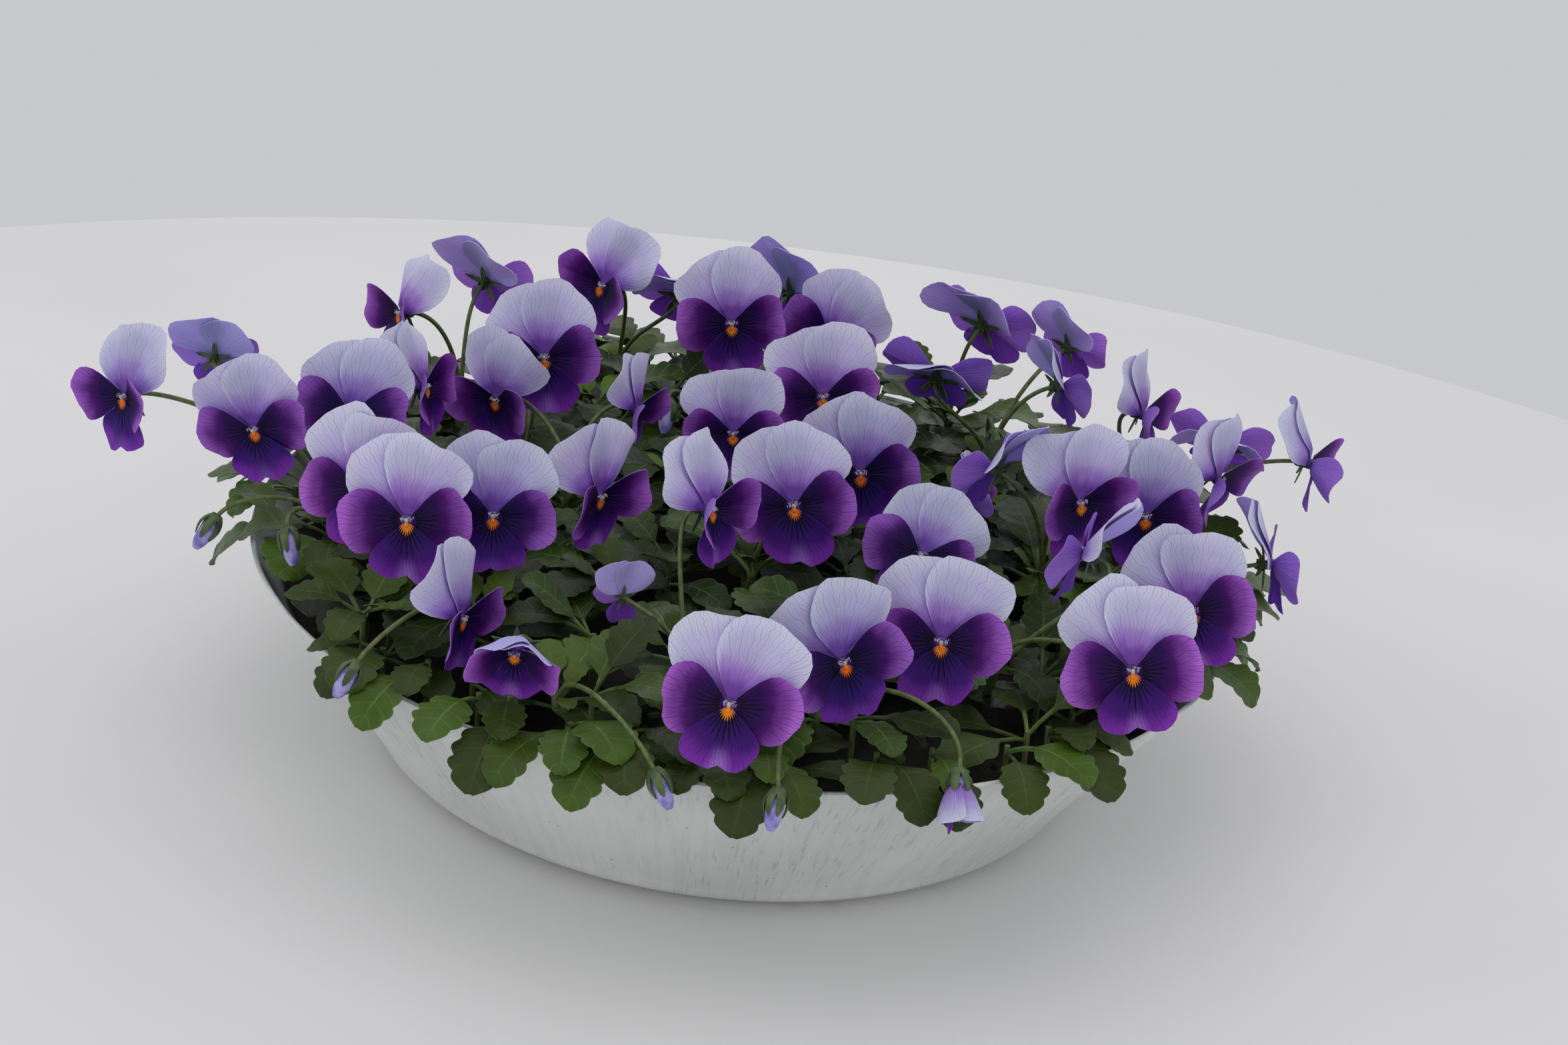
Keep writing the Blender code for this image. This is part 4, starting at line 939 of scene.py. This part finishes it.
def fillSpots(draws):
    # Where leaves lean out over the rim, then two layers of rosettes, spread as seeds are in a sunflower:
    # turn, reach, span of the leaves, their count, height, least and most size, lowest rise, kind, and limit
    spots = []
    count, top = fillForm["rimPlaces"], planting["potHeight"]
    for k in range(count):
        turn = 2 * math.pi * (k + 0.6 * draws.random()) / count
        if any(low < math.degrees(turn) < high for low, high in fillForm["bareRim"]):
            continue
        height = top + fillForm["rimHeights"][0] + fillForm["rimHeights"][1] * draws.random()
        spots.append((turn, fillForm["rimRadius"], fillForm["rimSpan"], fillForm["rimLeaves"], height,
                      *fillForm["rimSizes"], fillForm["rimRise"], 1, math.inf))
    for count, each, limit, lowest, highest, least, most, rise, kind in fillForm["layers"]:
        for k in (np.arange(count) * fillForm["stride"] + 5) % count:
            turn = k * planting["goldenAngle"] + 0.7 + 40 * lowest
            height = top + lowest + (highest - lowest) * draws.random()
            reach = fillForm["reach"] * math.sqrt((k + 0.5) / count)
            spots.append((turn, reach, 2 * math.pi, each, height, least, most, rise, kind, limit))
    return spots


def growFilling(tips, places, stalks, leaves):  # (plant, kind, leaf) of small leaves, and (plant, stem top)
    draws = np.random.default_rng(fillForm["seed"])
    room = takenRoom(stalks, leaves)
    grown, stems = [], []
    growHearts(room, grown, tips, draws)
    spots = fillSpots(draws)
    borneOf = {spot[-1]: 0 for spot in spots}  # leaves so far, by the limit of their layer
    base, drawn, out = fillForm["droop"]
    for turn, reach, span, count, height, least, most, lowRise, kind, limit in spots:
        root = heading(turn, reach, height)
        plant = int(np.argmin(np.linalg.norm(places - root[:2], axis=1)))
        edge = reach / planting["rimRadius"]
        before = len(grown)
        for n in range(count):
            a, b, c, d = draws.random(4)
            azimuth = turn + span * ((n + 0.5) / count - 0.5) + (a - 0.5) * fillForm["stray"]
            outwards = max(0.0, math.cos(azimuth - turn)) * edge
            rise = math.radians(lowRise + fillForm["rise"][0] * b + fillForm["rise"][1] * outwards)
            droop = math.radians(base + drawn * c + out * outwards)
            if borneOf[limit] < limit:
                foot = root + (0, 0, fillForm["step"] * n)
                borneOf[limit] += bear(room, grown, plant, kind, foot, azimuth, rise, droop,
                                       least + (most - least) * d)
        if len(grown) > before:
            stems.append((plant, root))
    return grown, stems


# Blooms

petalForm = {  # lengths in millimetres, but the thickness in metres; claw is the share where a sheet starts
    "seed": 5, "rows": 12, "columns": 21, "halfThickness": 0.00014, "claw": 0.05,
    "widen": {"upper": 1.20, "side": 1.12, "lower": 1.12},
    "round": {"upper": 0.38, "side": 0.30, "lower": 0.29},
    "swells": ((0.045, 2.6, 1), (0.026, 6, 2), (0.012, 13, 3)),  # height, waves and phase of each
    "ruffle": 1.5, "ruffles": 5.6, "crease": 0.45, "recurve": 1.1,
}


def petalSheet(bloom, number, u, v):
    # A petal as (points, turn, reach, share). Its edge lies at length * (1 - |v| ** power) ** round from the
    # throat, which rounds the plain petal's corners, with small uneven swells. It creases along its middle,
    # ruffles more towards its edge, and folds as a whole like the plain petal.
    kind, direction, length, halfFan, _, power, _, _, notch = petalKinds[number]
    turn = v * math.radians(halfFan) * petalForm["widen"][kind]
    angle = math.radians(direction) + turn
    rounded = (1 - 0.9985 * np.abs(v) ** (power + 0.3)) ** petalForm["round"][kind]
    swell = 1
    for height, waves, times in petalForm["swells"]:
        swell = swell + height * np.sin(waves * v + times * petalPhase(bloom, number))
    dent = notch * 1.1 * np.exp(-((v / 0.13) ** 2))
    reach = length * (rounded * swell - dent) * u
    far = (reach / 22) ** 2
    ripples = np.sin(petalForm["ruffles"] * angle + bloom[0] * 0.11 + bloom[1] * 0.05)
    ruffle = petalForm["ruffle"] * far * ripples
    recurve = -petalForm["recurve"] * far * (1.0 if kind == "upper" else 0.45)
    groove = -petalForm["crease"] * np.exp(-((v / 0.10) ** 2))
    crease = groove * smooth(u, 0.1, 0.5) * (1 - smooth(u, 0.7, 1.0))
    return placePetal(bloom, number, angle, reach, (ruffle, recurve, crease)), turn, reach, u + 0 * v


def addPetals(heap, bloom, tone):  # columns crowd towards the edges, as a sine, and the sheet thins outwards
    share = np.linspace(petalForm["claw"], 1, petalForm["rows"])
    fan = np.sin(np.linspace(-1, 1, petalForm["columns"]) * math.pi / 2)
    u, v = np.meshgrid(share, fan, indexing="ij")
    for number in range(len(petalKinds)):
        points, turn, reach, far = petalSheet(bloom, number, u, v)
        slot = ("upper", "side", "lower").index(petalKinds[number][0])
        half = petalForm["halfThickness"] * (1.25 - 0.5 * u)
        heap.addShell(points, half, slot, np.stack([turn, reach, far], -1), tone)


eyeForm = {
    "knobs": (  # lip, style and throat: slot, place, tip upwards and forwards, radius, rows, sides
        (3, (0, -1.1, 0.9), (-1.2, 0.2), 0.85, 8, 10),
        (4, (0, 0.2, 1.5), (0.9, 0.8), 0.70, 7, 8),
        (5, (0, 0.0, -0.6), (0.0, 1.9), 2.3, 8, 12),
    ),
    "spur": ((0, -0.6, -1.0), (0, -1.2, -3.0), (0, -1.6, -5.0), (0, -0.9, -6.8)),
    "spurRadii": (1.5, 1.4, 1.3, 1.2, 1.1, 1.05, 1.0, 0.85, 0.4),
    "beardHairs": 9, "beardLength": 1.5, "hairRadii": (1.0, 0.8, 0.35), "hairRadius": 0.10,
}


def addEye(heap, bloom, draws):
    # The orange lip swells at the top of the lower petal; the pale style stands in it under two white beards;
    # behind, a short spur runs back past the sepals
    scale = bloom[6] / 1000
    right, up, facing = np.array(bloomAxes(*bloom[3:6]))
    for slot, place, (rise, ahead), radius, rows, sides in eyeForm["knobs"]:
        tip = (up * rise + facing * ahead) * scale
        heap.add(knob(inBloom(bloom, (place,))[0], tip, radius * scale, rows, sides), slot)
    spur = bezier([inBloom(bloom, (place,))[0] for place in eyeForm["spur"]], 8)
    heap.add(tube(spur, np.array(eyeForm["spurRadii"]) * scale, 8), 5)
    radii = np.array(eyeForm["hairRadii"]) * eyeForm["hairRadius"] * scale
    for side in (-1, 1):
        for _ in range(eyeForm["beardHairs"]):
            a, b, c = draws.random(3)
            foot = inBloom(bloom, ((side * (0.9 + 1.5 * a), 0.5 + 1.1 * b, 0.9),))[0]
            lean = side * (-0.5 + 0.3 * a) * right + (-0.25 + 0.5 * b) * up + facing * (0.7 + 0.3 * c)
            hair = np.stack([foot, foot + lean * 0.5 * eyeForm["beardLength"] * scale,
                             foot + (lean - 0.25 * up) * eyeForm["beardLength"] * scale])
            heap.add(tube(hair, radii, 3), 6)


eyePaint = {  # dark, light, roughness, scale of the mottle, relief
    "orangeLip": ((236, 104, 14), (252, 142, 24), 0.45, 900.0, 0.00010),
    "paleStyle": ((186, 176, 150), (214, 206, 186), 0.45, 700.0, 0.00005),
    "violetThroat": ((56, 30, 92), (86, 54, 134), 0.55, 400.0, 0.00010),
    "whiteBeard": ((206, 198, 214), (232, 226, 236), 0.60, 900.0, 0.00005),
}


def makeBlooms():  # one piece a bloom
    materials = [petalMaterial(kind) for kind in ("upper", "side", "lower")]
    materials += [plainMaterial(name, *values) for name, values in eyePaint.items()]
    draws = np.random.default_rng(petalForm["seed"])
    for number, bloom in enumerate(blooms):
        heap = Heap()
        addPetals(heap, bloom, draws.random())
        addEye(heap, bloom, draws)
        piece = heap.build("petals%02d" % (number + 1), materials)
        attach(piece, "root")
        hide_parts("bloom_%02d" % (number + 1))
    print("blooms:", len(blooms))


# Leaves, stalks and buds


def addLeaf(heap, leaf, rows, columns, stalkRows, draws, fresh):
    # The stalk is a thin channelled strip. The blade's half width is sin(pi * share ** shift) ** 0.55, drawn
    # in towards the stalk, with rounded teeth; it puffs up between its side veins and waves along its sides
    size = leaf[4]
    petiole, length = leafForm["petiole"] * size, leafForm["length"] * size
    teeth = leafForm["scallops"] * (1 if rows > 25 else 0.8)  # fewer on leaves with few rows
    share = np.concatenate([np.linspace(-1, 0, stalkRows, endpoint=False), np.linspace(0.0, 0.992, rows)])
    across = np.linspace(-1, 1, columns)
    blade = np.clip(share, 0.0, 1.0)
    width = np.sin(math.pi * blade ** leafForm["shift"]) ** 0.55 * np.minimum(1, blade / 0.25) ** 0.6
    tooth = 1 - np.abs(np.sin(math.pi * (teeth * blade + 0.1))) ** 0.75
    width = width * (1 - leafForm["scallopDepth"] * tooth * smooth(blade, 0.18, 0.36))
    width = np.maximum(width, 0.075) * np.where(share < 0, 1 - 0.15 * np.abs(share), 1)
    along = np.where(share < 0, petiole * (1 + share), petiole + length * blade)
    s, v = np.meshgrid(along, across, indexing="ij")
    half = v * width[:, None] * leafForm["halfWidth"] * leafForm["broader"] * size
    middle, normal = leafPlace(leaf, s, half)
    a, b = draws.random(2) * 6.3
    veins = np.abs(np.sin(math.pi * leafForm["scallops"] * (blade[:, None] - 0.17 * np.abs(v))))
    puff = leafForm["quilt"] * veins * (1 - v**2) * smooth(blade, 0.05, 0.3)[:, None]
    wave = leafForm["wave"] * v**2 * np.sin(7 * blade + a)[:, None]
    wave = wave + 0.5 * leafForm["wave"] * v * np.sin(4 * blade + b)[:, None]
    middle = middle + normal * (puff + size * wave * smooth(blade, 0.0, 0.3)[:, None])[..., None]
    ridge = np.exp(-((v * width[:, None] / 0.16) ** 2))
    thick = leafForm["edgeThickness"] + leafForm["halfThickness"] * ridge
    place = np.stack([np.where(share < 0, -0.2, blade)[:, None] + 0 * v, v + 0 * s, fresh + 0 * s], -1)
    heap.addShell(middle, thick, 0, place, draws.random())


sepalForm = {  # lengths in millimetres, but the thickness and the cup's half length and radius in metres
    "length": 8.2, "halfWidth": 1.35, "rows": 9, "columns": 5, "lobe": 2.6, "halfThickness": 0.00022,
    "cup": (0.0016, 0.0019), "cupBehind": -3.4,
}


def addSepals(heap, bloom):
    # Five pointed sepals in a star behind the petals, each with a short lobe that points back along the stalk
    share = np.linspace(-1, 1, sepalForm["rows"])
    v = np.linspace(-1, 1, sepalForm["columns"])
    forward = np.clip(share, 0, 1)
    backward = np.clip(-share, 0, 1)
    radius = (1.2 + sepalForm["length"] * forward + 0.7 * backward)[:, None, None]
    depth = (-2.9 - 1.6 * forward**1.5 - sepalForm["lobe"] * backward)[:, None, None]
    point = np.sqrt(np.clip(1 - (0.55 * forward + 0.45 * forward**3), 0.02, 1))
    width = sepalForm["halfWidth"] * point * (1 - 0.35 * backward)
    width = np.where(share > 0.98, 0.12, width)[:, None]
    ahead = np.array((0, 0, 1.0))
    for turn in np.radians(90 + 72 * np.arange(5)):
        outward = heading(turn)
        aside = np.array((-outward[1], outward[0], 0.0))
        middle = (radius * outward + depth * ahead + (width * v)[..., None] * aside
                  - (0.25 * np.abs(v) * width)[..., None] * ahead)
        heap.add(shell(inBloom(bloom, middle), sepalForm["halfThickness"] * bloom[6]), 2)
    half, radius = sepalForm["cup"]
    tip = bloomAxes(*bloom[3:6])[2] * half * bloom[6]
    heap.add(knob(inBloom(bloom, ((0, 0, sepalForm["cupBehind"]),))[0], tip, radius * bloom[6], 8, 10), 2)


budForm = {
    "length": 0.013, "radius": 0.0031, "halfThickness": 0.00014,
    "half": (0, 6), "bellLength": 1.28, "bellMouth": 0.0078,  # which buds are half open, and how wide
    "tongueLength": 1.55, "tongueMouth": 0.0048,
    "sepalShare": 0.72, "sepalWidth": 0.0016, "sepalThickness": 0.0002,
}


def addOpenPetals(heap, top, aim, side, other):
    # A half open bud's petals overlap and widen as the sine of the way to the mouth, and the lower petal's
    # tongue comes out past them
    way, fan = np.meshgrid(np.linspace(0.12, 1, 12), np.linspace(-1, 1, 13), indexing="ij")
    length = budForm["length"]

    def addSheet(turn, along, reach, slot, tone):
        outward = np.cos(turn)[..., None] * side + np.sin(turn)[..., None] * other
        sheet = top + along[..., None] * aim + reach[..., None] * outward
        place = np.stack([fan * 0.6, 22 * way, way], -1)
        heap.addShell(sheet[::-1], budForm["halfThickness"], slot, place[::-1], tone)

    for k in range(4):
        ripple = 1 - 0.05 * k + 0.07 * np.sin(3 * fan + k) * way
        reach = budForm["bellMouth"] * np.sin(way * 1.45) * ripple
        along = way * budForm["bellLength"] * length * (1 - 0.10 * fan**4)
        addSheet(math.pi * (k / 2 + 0.2) + fan * 0.98, along, reach, 4, 0.4)
    along = way * length * budForm["tongueLength"] * (1 - 0.12 * fan**2)
    addSheet(1.2 + fan * 0.6, along, budForm["tongueMouth"] * np.sin(way * 1.5), 5, 0.5)


def addBud(heap, bud, draws):
    # A nodding bud: furled petals drawn to a point, clasped by five sepals that narrow as an ellipse does
    top = np.array(bud[:3]) / 1000
    aim = budDirection(bud)
    length = budForm["length"]
    share = np.linspace(0.03, 1, 12)
    radius = budForm["radius"] * np.sin(math.pi * share**0.8 * 0.93) ** 0.7 * (1 + 0.06 * np.sin(9 * share))
    heap.add(tube(top + share[:, None] * aim * length, radius, 12), 3)
    side = unit(np.cross(aim, (0.3, 0.5, 1.0)))
    other = np.cross(aim, side)
    if buds.index(bud) in budForm["half"]:
        addOpenPetals(heap, top, aim, side, other)
    s = np.linspace(0, 1, 8)
    v = np.linspace(-1, 1, 5)
    along = (s * length * budForm["sepalShare"] - 0.0012)[:, None, None]
    radius = budForm["radius"] * (0.35 + 0.85 * np.sin(math.pi * s**0.8 * 0.8)) + 0.0004
    width = budForm["sepalWidth"] * np.sqrt(np.clip(1 - s**2, 0.01, 1))[:, None]
    for k in range(5):
        turn = 2 * math.pi * k / 5 + draws.random() * 0.3
        outward = math.cos(turn) * side + math.sin(turn) * other
        aside = np.cross(aim, outward)
        middle = (top + along * aim + radius[:, None, None] * outward + (width * v)[..., None] * aside
                  - (0.35 * width * v**2)[..., None] * outward)
        heap.add(shell(middle, budForm["sepalThickness"]), 2)


stalkForm = {
    "radius": 0.00085, "sides": 8, "steps": 26, "shootRadius": 0.0014, "shootSteps": 12,
    "stemRadius": 0.0011, "stemSides": 6, "tipRadius": 0.0019, "seed": 11,
    "crown": ((-0.018, 0.8), (-0.008, 0.9), (0.0, 1.0), (0.003, 0.9), (0.006, 0.5)),  # height, radius share
}
plantPaint = {  # dark, light and roughness; for the bud, its mottle's scale and relief too
    "softStem": ((70, 88, 42), (98, 112, 58), 0.5), "sepalGreen": ((52, 74, 38), (84, 104, 56), 0.5),
    "budPetal": ((122, 108, 186), (168, 160, 218), 0.55, 300.0, 0.00010),
}


def rimShare(leaf, low):  # 0 well inside the bowl, 1 at its rim
    return smooth(math.hypot(leaf[0][0], leaf[0][1]) / planting["rimRadius"], low, 1.0)


def addStems(heap, plant, place, stems):
    # The crown is a post that swells and narrows; shoots run from it to their tips, each with a knob on it;
    # and a thin stem rises from the soil to each small rosette
    post = np.array([(*place, soilTop(*place) + height) for height, _ in stalkForm["crown"]])
    radii = planting["crownRadius"] * np.array([share for _, share in stalkForm["crown"]])
    heap.add(tube(post, radii, 12), 1)
    for tip, owner in tips:
        if owner == plant:
            path = shootPath(tip, place, stalkForm["shootSteps"])
            heap.add(tube(path, stalkForm["shootRadius"] * np.linspace(1.0, 1.15, len(path)), 8), 1)
            heap.add(knob(tip + (0, 0, 0.0022), (0, 0, 0.0032), stalkForm["tipRadius"], 7, 8), 1)
    for owner, root in stems:
        if owner == plant:
            foot = np.array((*root[:2], soilTop(*root[:2]) - 0.001))
            stem = bezier((foot, foot + (0.001, 0, 0.004), root - (0, 0, 0.003), root + (0, 0, 0.004)), 6)
            heap.add(tube(stem, stalkForm["stemRadius"], stalkForm["stemSides"]), 1)


def makePlants(grown, stems):  # one piece a plant: stems, bloom stalks with sepals or buds, and leaves
    materials = [leafMaterial()]
    materials += [stemMaterial(name, *plantPaint[name]) for name in ("softStem", "sepalGreen")]
    materials += [plainMaterial("budPetal", *plantPaint["budPetal"]), bpy.data.materials["upperPetal"],
                  bpy.data.materials["lowerPetal"]]
    draws = np.random.default_rng(stalkForm["seed"])
    for plant, place in enumerate(places):
        heap = Heap()
        addStems(heap, plant, place, stems)
        for owner, controls, row in stalks:
            if owner != plant:
                continue
            path = bezier(controls, stalkForm["steps"])
            taper = stalkForm["radius"] * np.linspace(1.1, 0.95, len(path))
            heap.add(tube(path, taper, stalkForm["sides"]), 1)
            if len(row) > 4:
                addSepals(heap, row)
            else:
                addBud(heap, row, draws)
        # large leaves go from the deep green in the middle of the bowl to a lighter, fresher green towards
        # the rim
        for owner, leaf in leaves:
            if owner == plant:
                addLeaf(heap, leaf, *leafForm["detail"], draws, 0.20 + 0.60 * rimShare(leaf, 0.70))
        # small leaves: more of the fresh green at each rosette's heart, where they are young, and more again
        # towards the rim
        for owner, kind, leaf in grown:
            if owner == plant:
                fresh = fillForm["fresh"][kind] + 0.25 * draws.random() + 0.45 * rimShare(leaf, 0.8)
                addLeaf(heap, leaf, *fillForm["detail"][kind], draws, min(1.0, fresh))
        piece = heap.build("foliage%d" % (plant + 1), materials)
        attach(piece, "root")
        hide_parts("plant_%d" % (plant + 1))
    print("plants:", len(places), "with", len(leaves), "large and", len(grown), "filling leaves")


# Bowl and soil

potForm = {  # metres, and how many points each part has
    "baseRadius": 0.125, "corner": 0.010, "wall": 0.0014, "rimBead": 0.0011, "sides": 192, "wallSteps": 24,
    "cornerSteps": 8, "footInset": 0.02, "floorSteps": 6, "floorInset": 0.004, "floorDrop": 0.0006,
    "markInset": 0.006,
}


def wallRadius(z):  # a straight flare above a rounded foot
    rim, height, corner = planting["rimRadius"], planting["potHeight"], potForm["corner"]
    flare = potForm["baseRadius"] + (rim - potForm["baseRadius"]) * z / height
    foot = potForm["baseRadius"] - corner * 0.55
    start = potForm["baseRadius"] + (rim - potForm["baseRadius"]) * corner / height
    rounded = foot + (start - foot) * np.sin(np.clip(z / corner, 0, 1) * math.pi / 2)
    return np.where(z < corner, rounded, flare)


def makeBowl():
    # The outside runs up the foot's curve and the flare, turns over in a round bead, and comes down inside;
    # place holds each point drawn in to the foot's circle, so that its marks run straight up the wall
    corner, top, bead = potForm["corner"], planting["potHeight"], potForm["rimBead"]
    low = corner * np.linspace(0, 1, potForm["cornerSteps"]) ** 1.6
    high = np.linspace(corner, top - bead, potForm["wallSteps"])[1:]
    outer = np.concatenate([low, high])
    turn = np.linspace(0.0, math.pi, 9)[1:-1]
    middle = wallRadius(np.array(top - bead)) - bead * 0.6
    inner, last = outer[:potForm["floorSteps"] - 1:-1], outer[potForm["floorSteps"] - 1]
    radii = np.concatenate([[potForm["baseRadius"] - potForm["footInset"]], wallRadius(outer),
                            middle + bead * np.cos(turn), wallRadius(inner) - potForm["wall"],
                            [wallRadius(last) - potForm["floorInset"]]])
    heights = np.concatenate([[0.0], outer, top - bead + bead * np.sin(turn), inner,
                              [last - potForm["floorDrop"]]])
    heap = Heap()
    surface = turned(radii, heights, potForm["sides"])
    x, y, z = surface[0].T
    reach = np.hypot(x, y) + 1e-9
    held = np.minimum(reach, potForm["baseRadius"] - potForm["markInset"]) / reach
    heap.add(surface, 0, np.stack([x * held, y * held, z], -1))
    piece = heap.build("zincBowl", [zincMaterial()])
    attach(piece, "root")
    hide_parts("bowl")
    print("bowl")


soilForm = {
    "seed": 3, "rings": 56, "sides": 150, "lumps": 0.0007, "edgeGap": 0.0012,
    "cupHeights": (0.004, 0.02, 0.04), "crumbs": 260, "crumbSize": 0.0017, "crumbLift": 0.0006,
}


def makeSoil():
    # A lumpy disc: the planting's soil height, with sine lumps, on a plain cup that fills the bowl
    draws = np.random.default_rng(soilForm["seed"])
    edge = planting["potHeight"] - planting["soilDrop"]
    reach = np.linspace(0, 1, soilForm["rings"] + 1)[1:]
    wall = float(wallRadius(np.array(edge))) - potForm["wall"] - soilForm["edgeGap"]
    turns = circle(soilForm["sides"])
    radius, turn = np.meshgrid(reach * wall, turns, indexing="ij")
    x, y = radius * np.cos(turn), radius * np.sin(turn)
    rough = np.sin(430 * x + 90 * y) * np.sin(390 * y - 60 * x)
    rough = rough + 0.6 * np.sin(910 * x + 2) * np.sin(870 * y + 1)
    z = soilTop(x, y) + soilForm["lumps"] * rough * (1 - (radius / wall) ** 8)
    heights = np.array((*soilForm["cupHeights"], edge - 0.002))
    cup = wallRadius(heights) - potForm["wall"] - soilForm["edgeGap"]
    level = np.broadcast_to(heights[:, None], (len(heights), len(turns)))
    sides = np.stack([cup[:, None] * np.cos(turns), cup[:, None] * np.sin(turns), level], -1)
    rings = np.concatenate([sides, np.stack([x, y, z], -1)[::-1]])
    poles = np.array(((0, 0, heights[0]), (0, 0, float(soilTop(0.0, 0.0)))))
    heap = Heap()
    heap.add((np.concatenate([rings.reshape(-1, 3), poles]), ringFaces(*rings.shape[:2])), 0)
    for _ in range(soilForm["crumbs"]):
        a, b, c, d, e = draws.random(5)
        spot = heading(b * 2 * math.pi, math.sqrt(a) * (wall - 0.003))
        spot[2] = soilTop(spot[0], spot[1]) + soilForm["crumbLift"]
        lean = unit(np.array((c - 0.5, d - 0.5, e - 0.5))) * soilForm["crumbSize"] * (0.5 + c)
        heap.add(knob(spot, lean, soilForm["crumbSize"] * (0.4 + 0.5 * d), 4, 5), 0)
    piece = heap.build("pottingSoil", [soilMaterial()])
    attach(piece, "root")
    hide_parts("soil")
    print("soil:", soilForm["crumbs"], "crumbs")


# Floor, light and camera

studio = {
    "floorCentre": (0.0, -0.178), "floorRadius": 0.723, "floorRings": 6, "floorSides": 128,
    "floorDull": (226, 224, 224), "floorLight": (232, 230, 230),
    "worldColour": (206, 208, 211), "worldStrength": 0.92, "lampAim": 0.08,
    "lamps": (  # name, place, size, power
        ("softTop", (-0.25, -0.05, 1.7), 2.4, 7.5),
        ("softFront", (-0.5, -1.7, 0.60), 1.5, 3.2),
        ("softLeft", (-1.6, 0.1, 0.5), 1.4, 2.0),
        ("softRight", (1.6, -0.3, 0.5), 1.4, 2.2),
        ("softBack", (0.3, 1.6, 0.9), 1.4, 3.0),
    ),
    "lens": 85.0, "target": (0.0133, -0.0200, 0.100), "distance": 1.332, "elevation": 24.14, "roll": 6.97,
}


def makeFloor():
    # A disc of rings with a fan of triangles at its middle
    count, sides = studio["floorRings"], studio["floorSides"]
    turns = circle(sides)
    reach = np.linspace(0.1, 1.0, count)[:, None] * studio["floorRadius"]
    rings = np.stack([reach * np.cos(turns), reach * np.sin(turns), np.zeros((count, sides))], -1)
    rings[..., :2] += studio["floorCentre"]
    quads, index = gridQuads(count, sides)
    joined = np.stack([index[:-1, -1], index[1:, -1], index[1:, 0], index[:-1, 0]], -1)
    middle = np.stack([np.full(sides, count * sides), index[0], np.roll(index[0], -1)], -1)
    heap = Heap()
    points = np.concatenate([rings.reshape(-1, 3), [(*studio["floorCentre"], 0.0)]])
    heap.add((points, [quads, joined, middle]), 0)
    piece = heap.build("floor", [floorMaterial()])


def makeLight():  # a pale sky, and soft discs that face the bowl
    world = bpy.data.worlds.new("studio")
    world.use_nodes = True
    ground = world.node_tree.nodes["Background"]
    ground.inputs["Color"].default_value = colour(*studio["worldColour"])
    ground.inputs["Strength"].default_value = studio["worldStrength"]
    bpy.context.scene.world = world
    for name, place, size, power in studio["lamps"]:
        lamp = bpy.data.lights.new(name, "AREA")
        lamp.shape = "DISK"
        lamp.size = size
        lamp.energy = power
        held = bpy.data.objects.new(name, lamp)
        held.location = place
        aim = Vector((-place[0], -place[1], studio["lampAim"] - place[2]))
        held.rotation_euler = aim.to_track_quat("-Z", "Y").to_euler()
        bpy.context.scene.collection.objects.link(held)
    bpy.context.scene.view_settings.view_transform = "Standard"


def makeCamera():
    # Looks at the target from in front and above, with the horizon tilted by the roll
    lens = bpy.data.cameras.new("camera")
    lens.lens = studio["lens"]
    lens.clip_start = 0.05
    camera = bpy.data.objects.new("camera", lens)
    lift, roll = math.radians(studio["elevation"]), math.radians(studio["roll"])
    back = np.array((0.0, -math.cos(lift), math.sin(lift)))
    camera.location = np.array(studio["target"]) + back * studio["distance"]
    right = np.array((1.0, 0.0, 0.0)) * math.cos(roll) + np.cross(back, (1.0, 0.0, 0.0)) * math.sin(roll)
    up = np.cross(back, right)
    pose = np.eye(4)
    pose[:3] = np.stack([right, up, back, camera.location], -1)
    camera.matrix_world = Matrix(pose.tolist())
    bpy.context.scene.collection.objects.link(camera)
    bpy.context.scene.camera = camera


makeBlooms()
grown, stems = growFilling(tips, places, stalks, leaves)
makePlants(grown, stems)
makeBowl()
makeSoil()
makeFloor()
makeLight()
makeCamera()
print("stage, light and camera")

shown = [piece.data for piece in bpy.data.objects if piece.type == "MESH" and not piece.hide_render]
print("triangles:", sum(len(mesh.loops) - 2 * len(mesh.polygons) for mesh in shown))
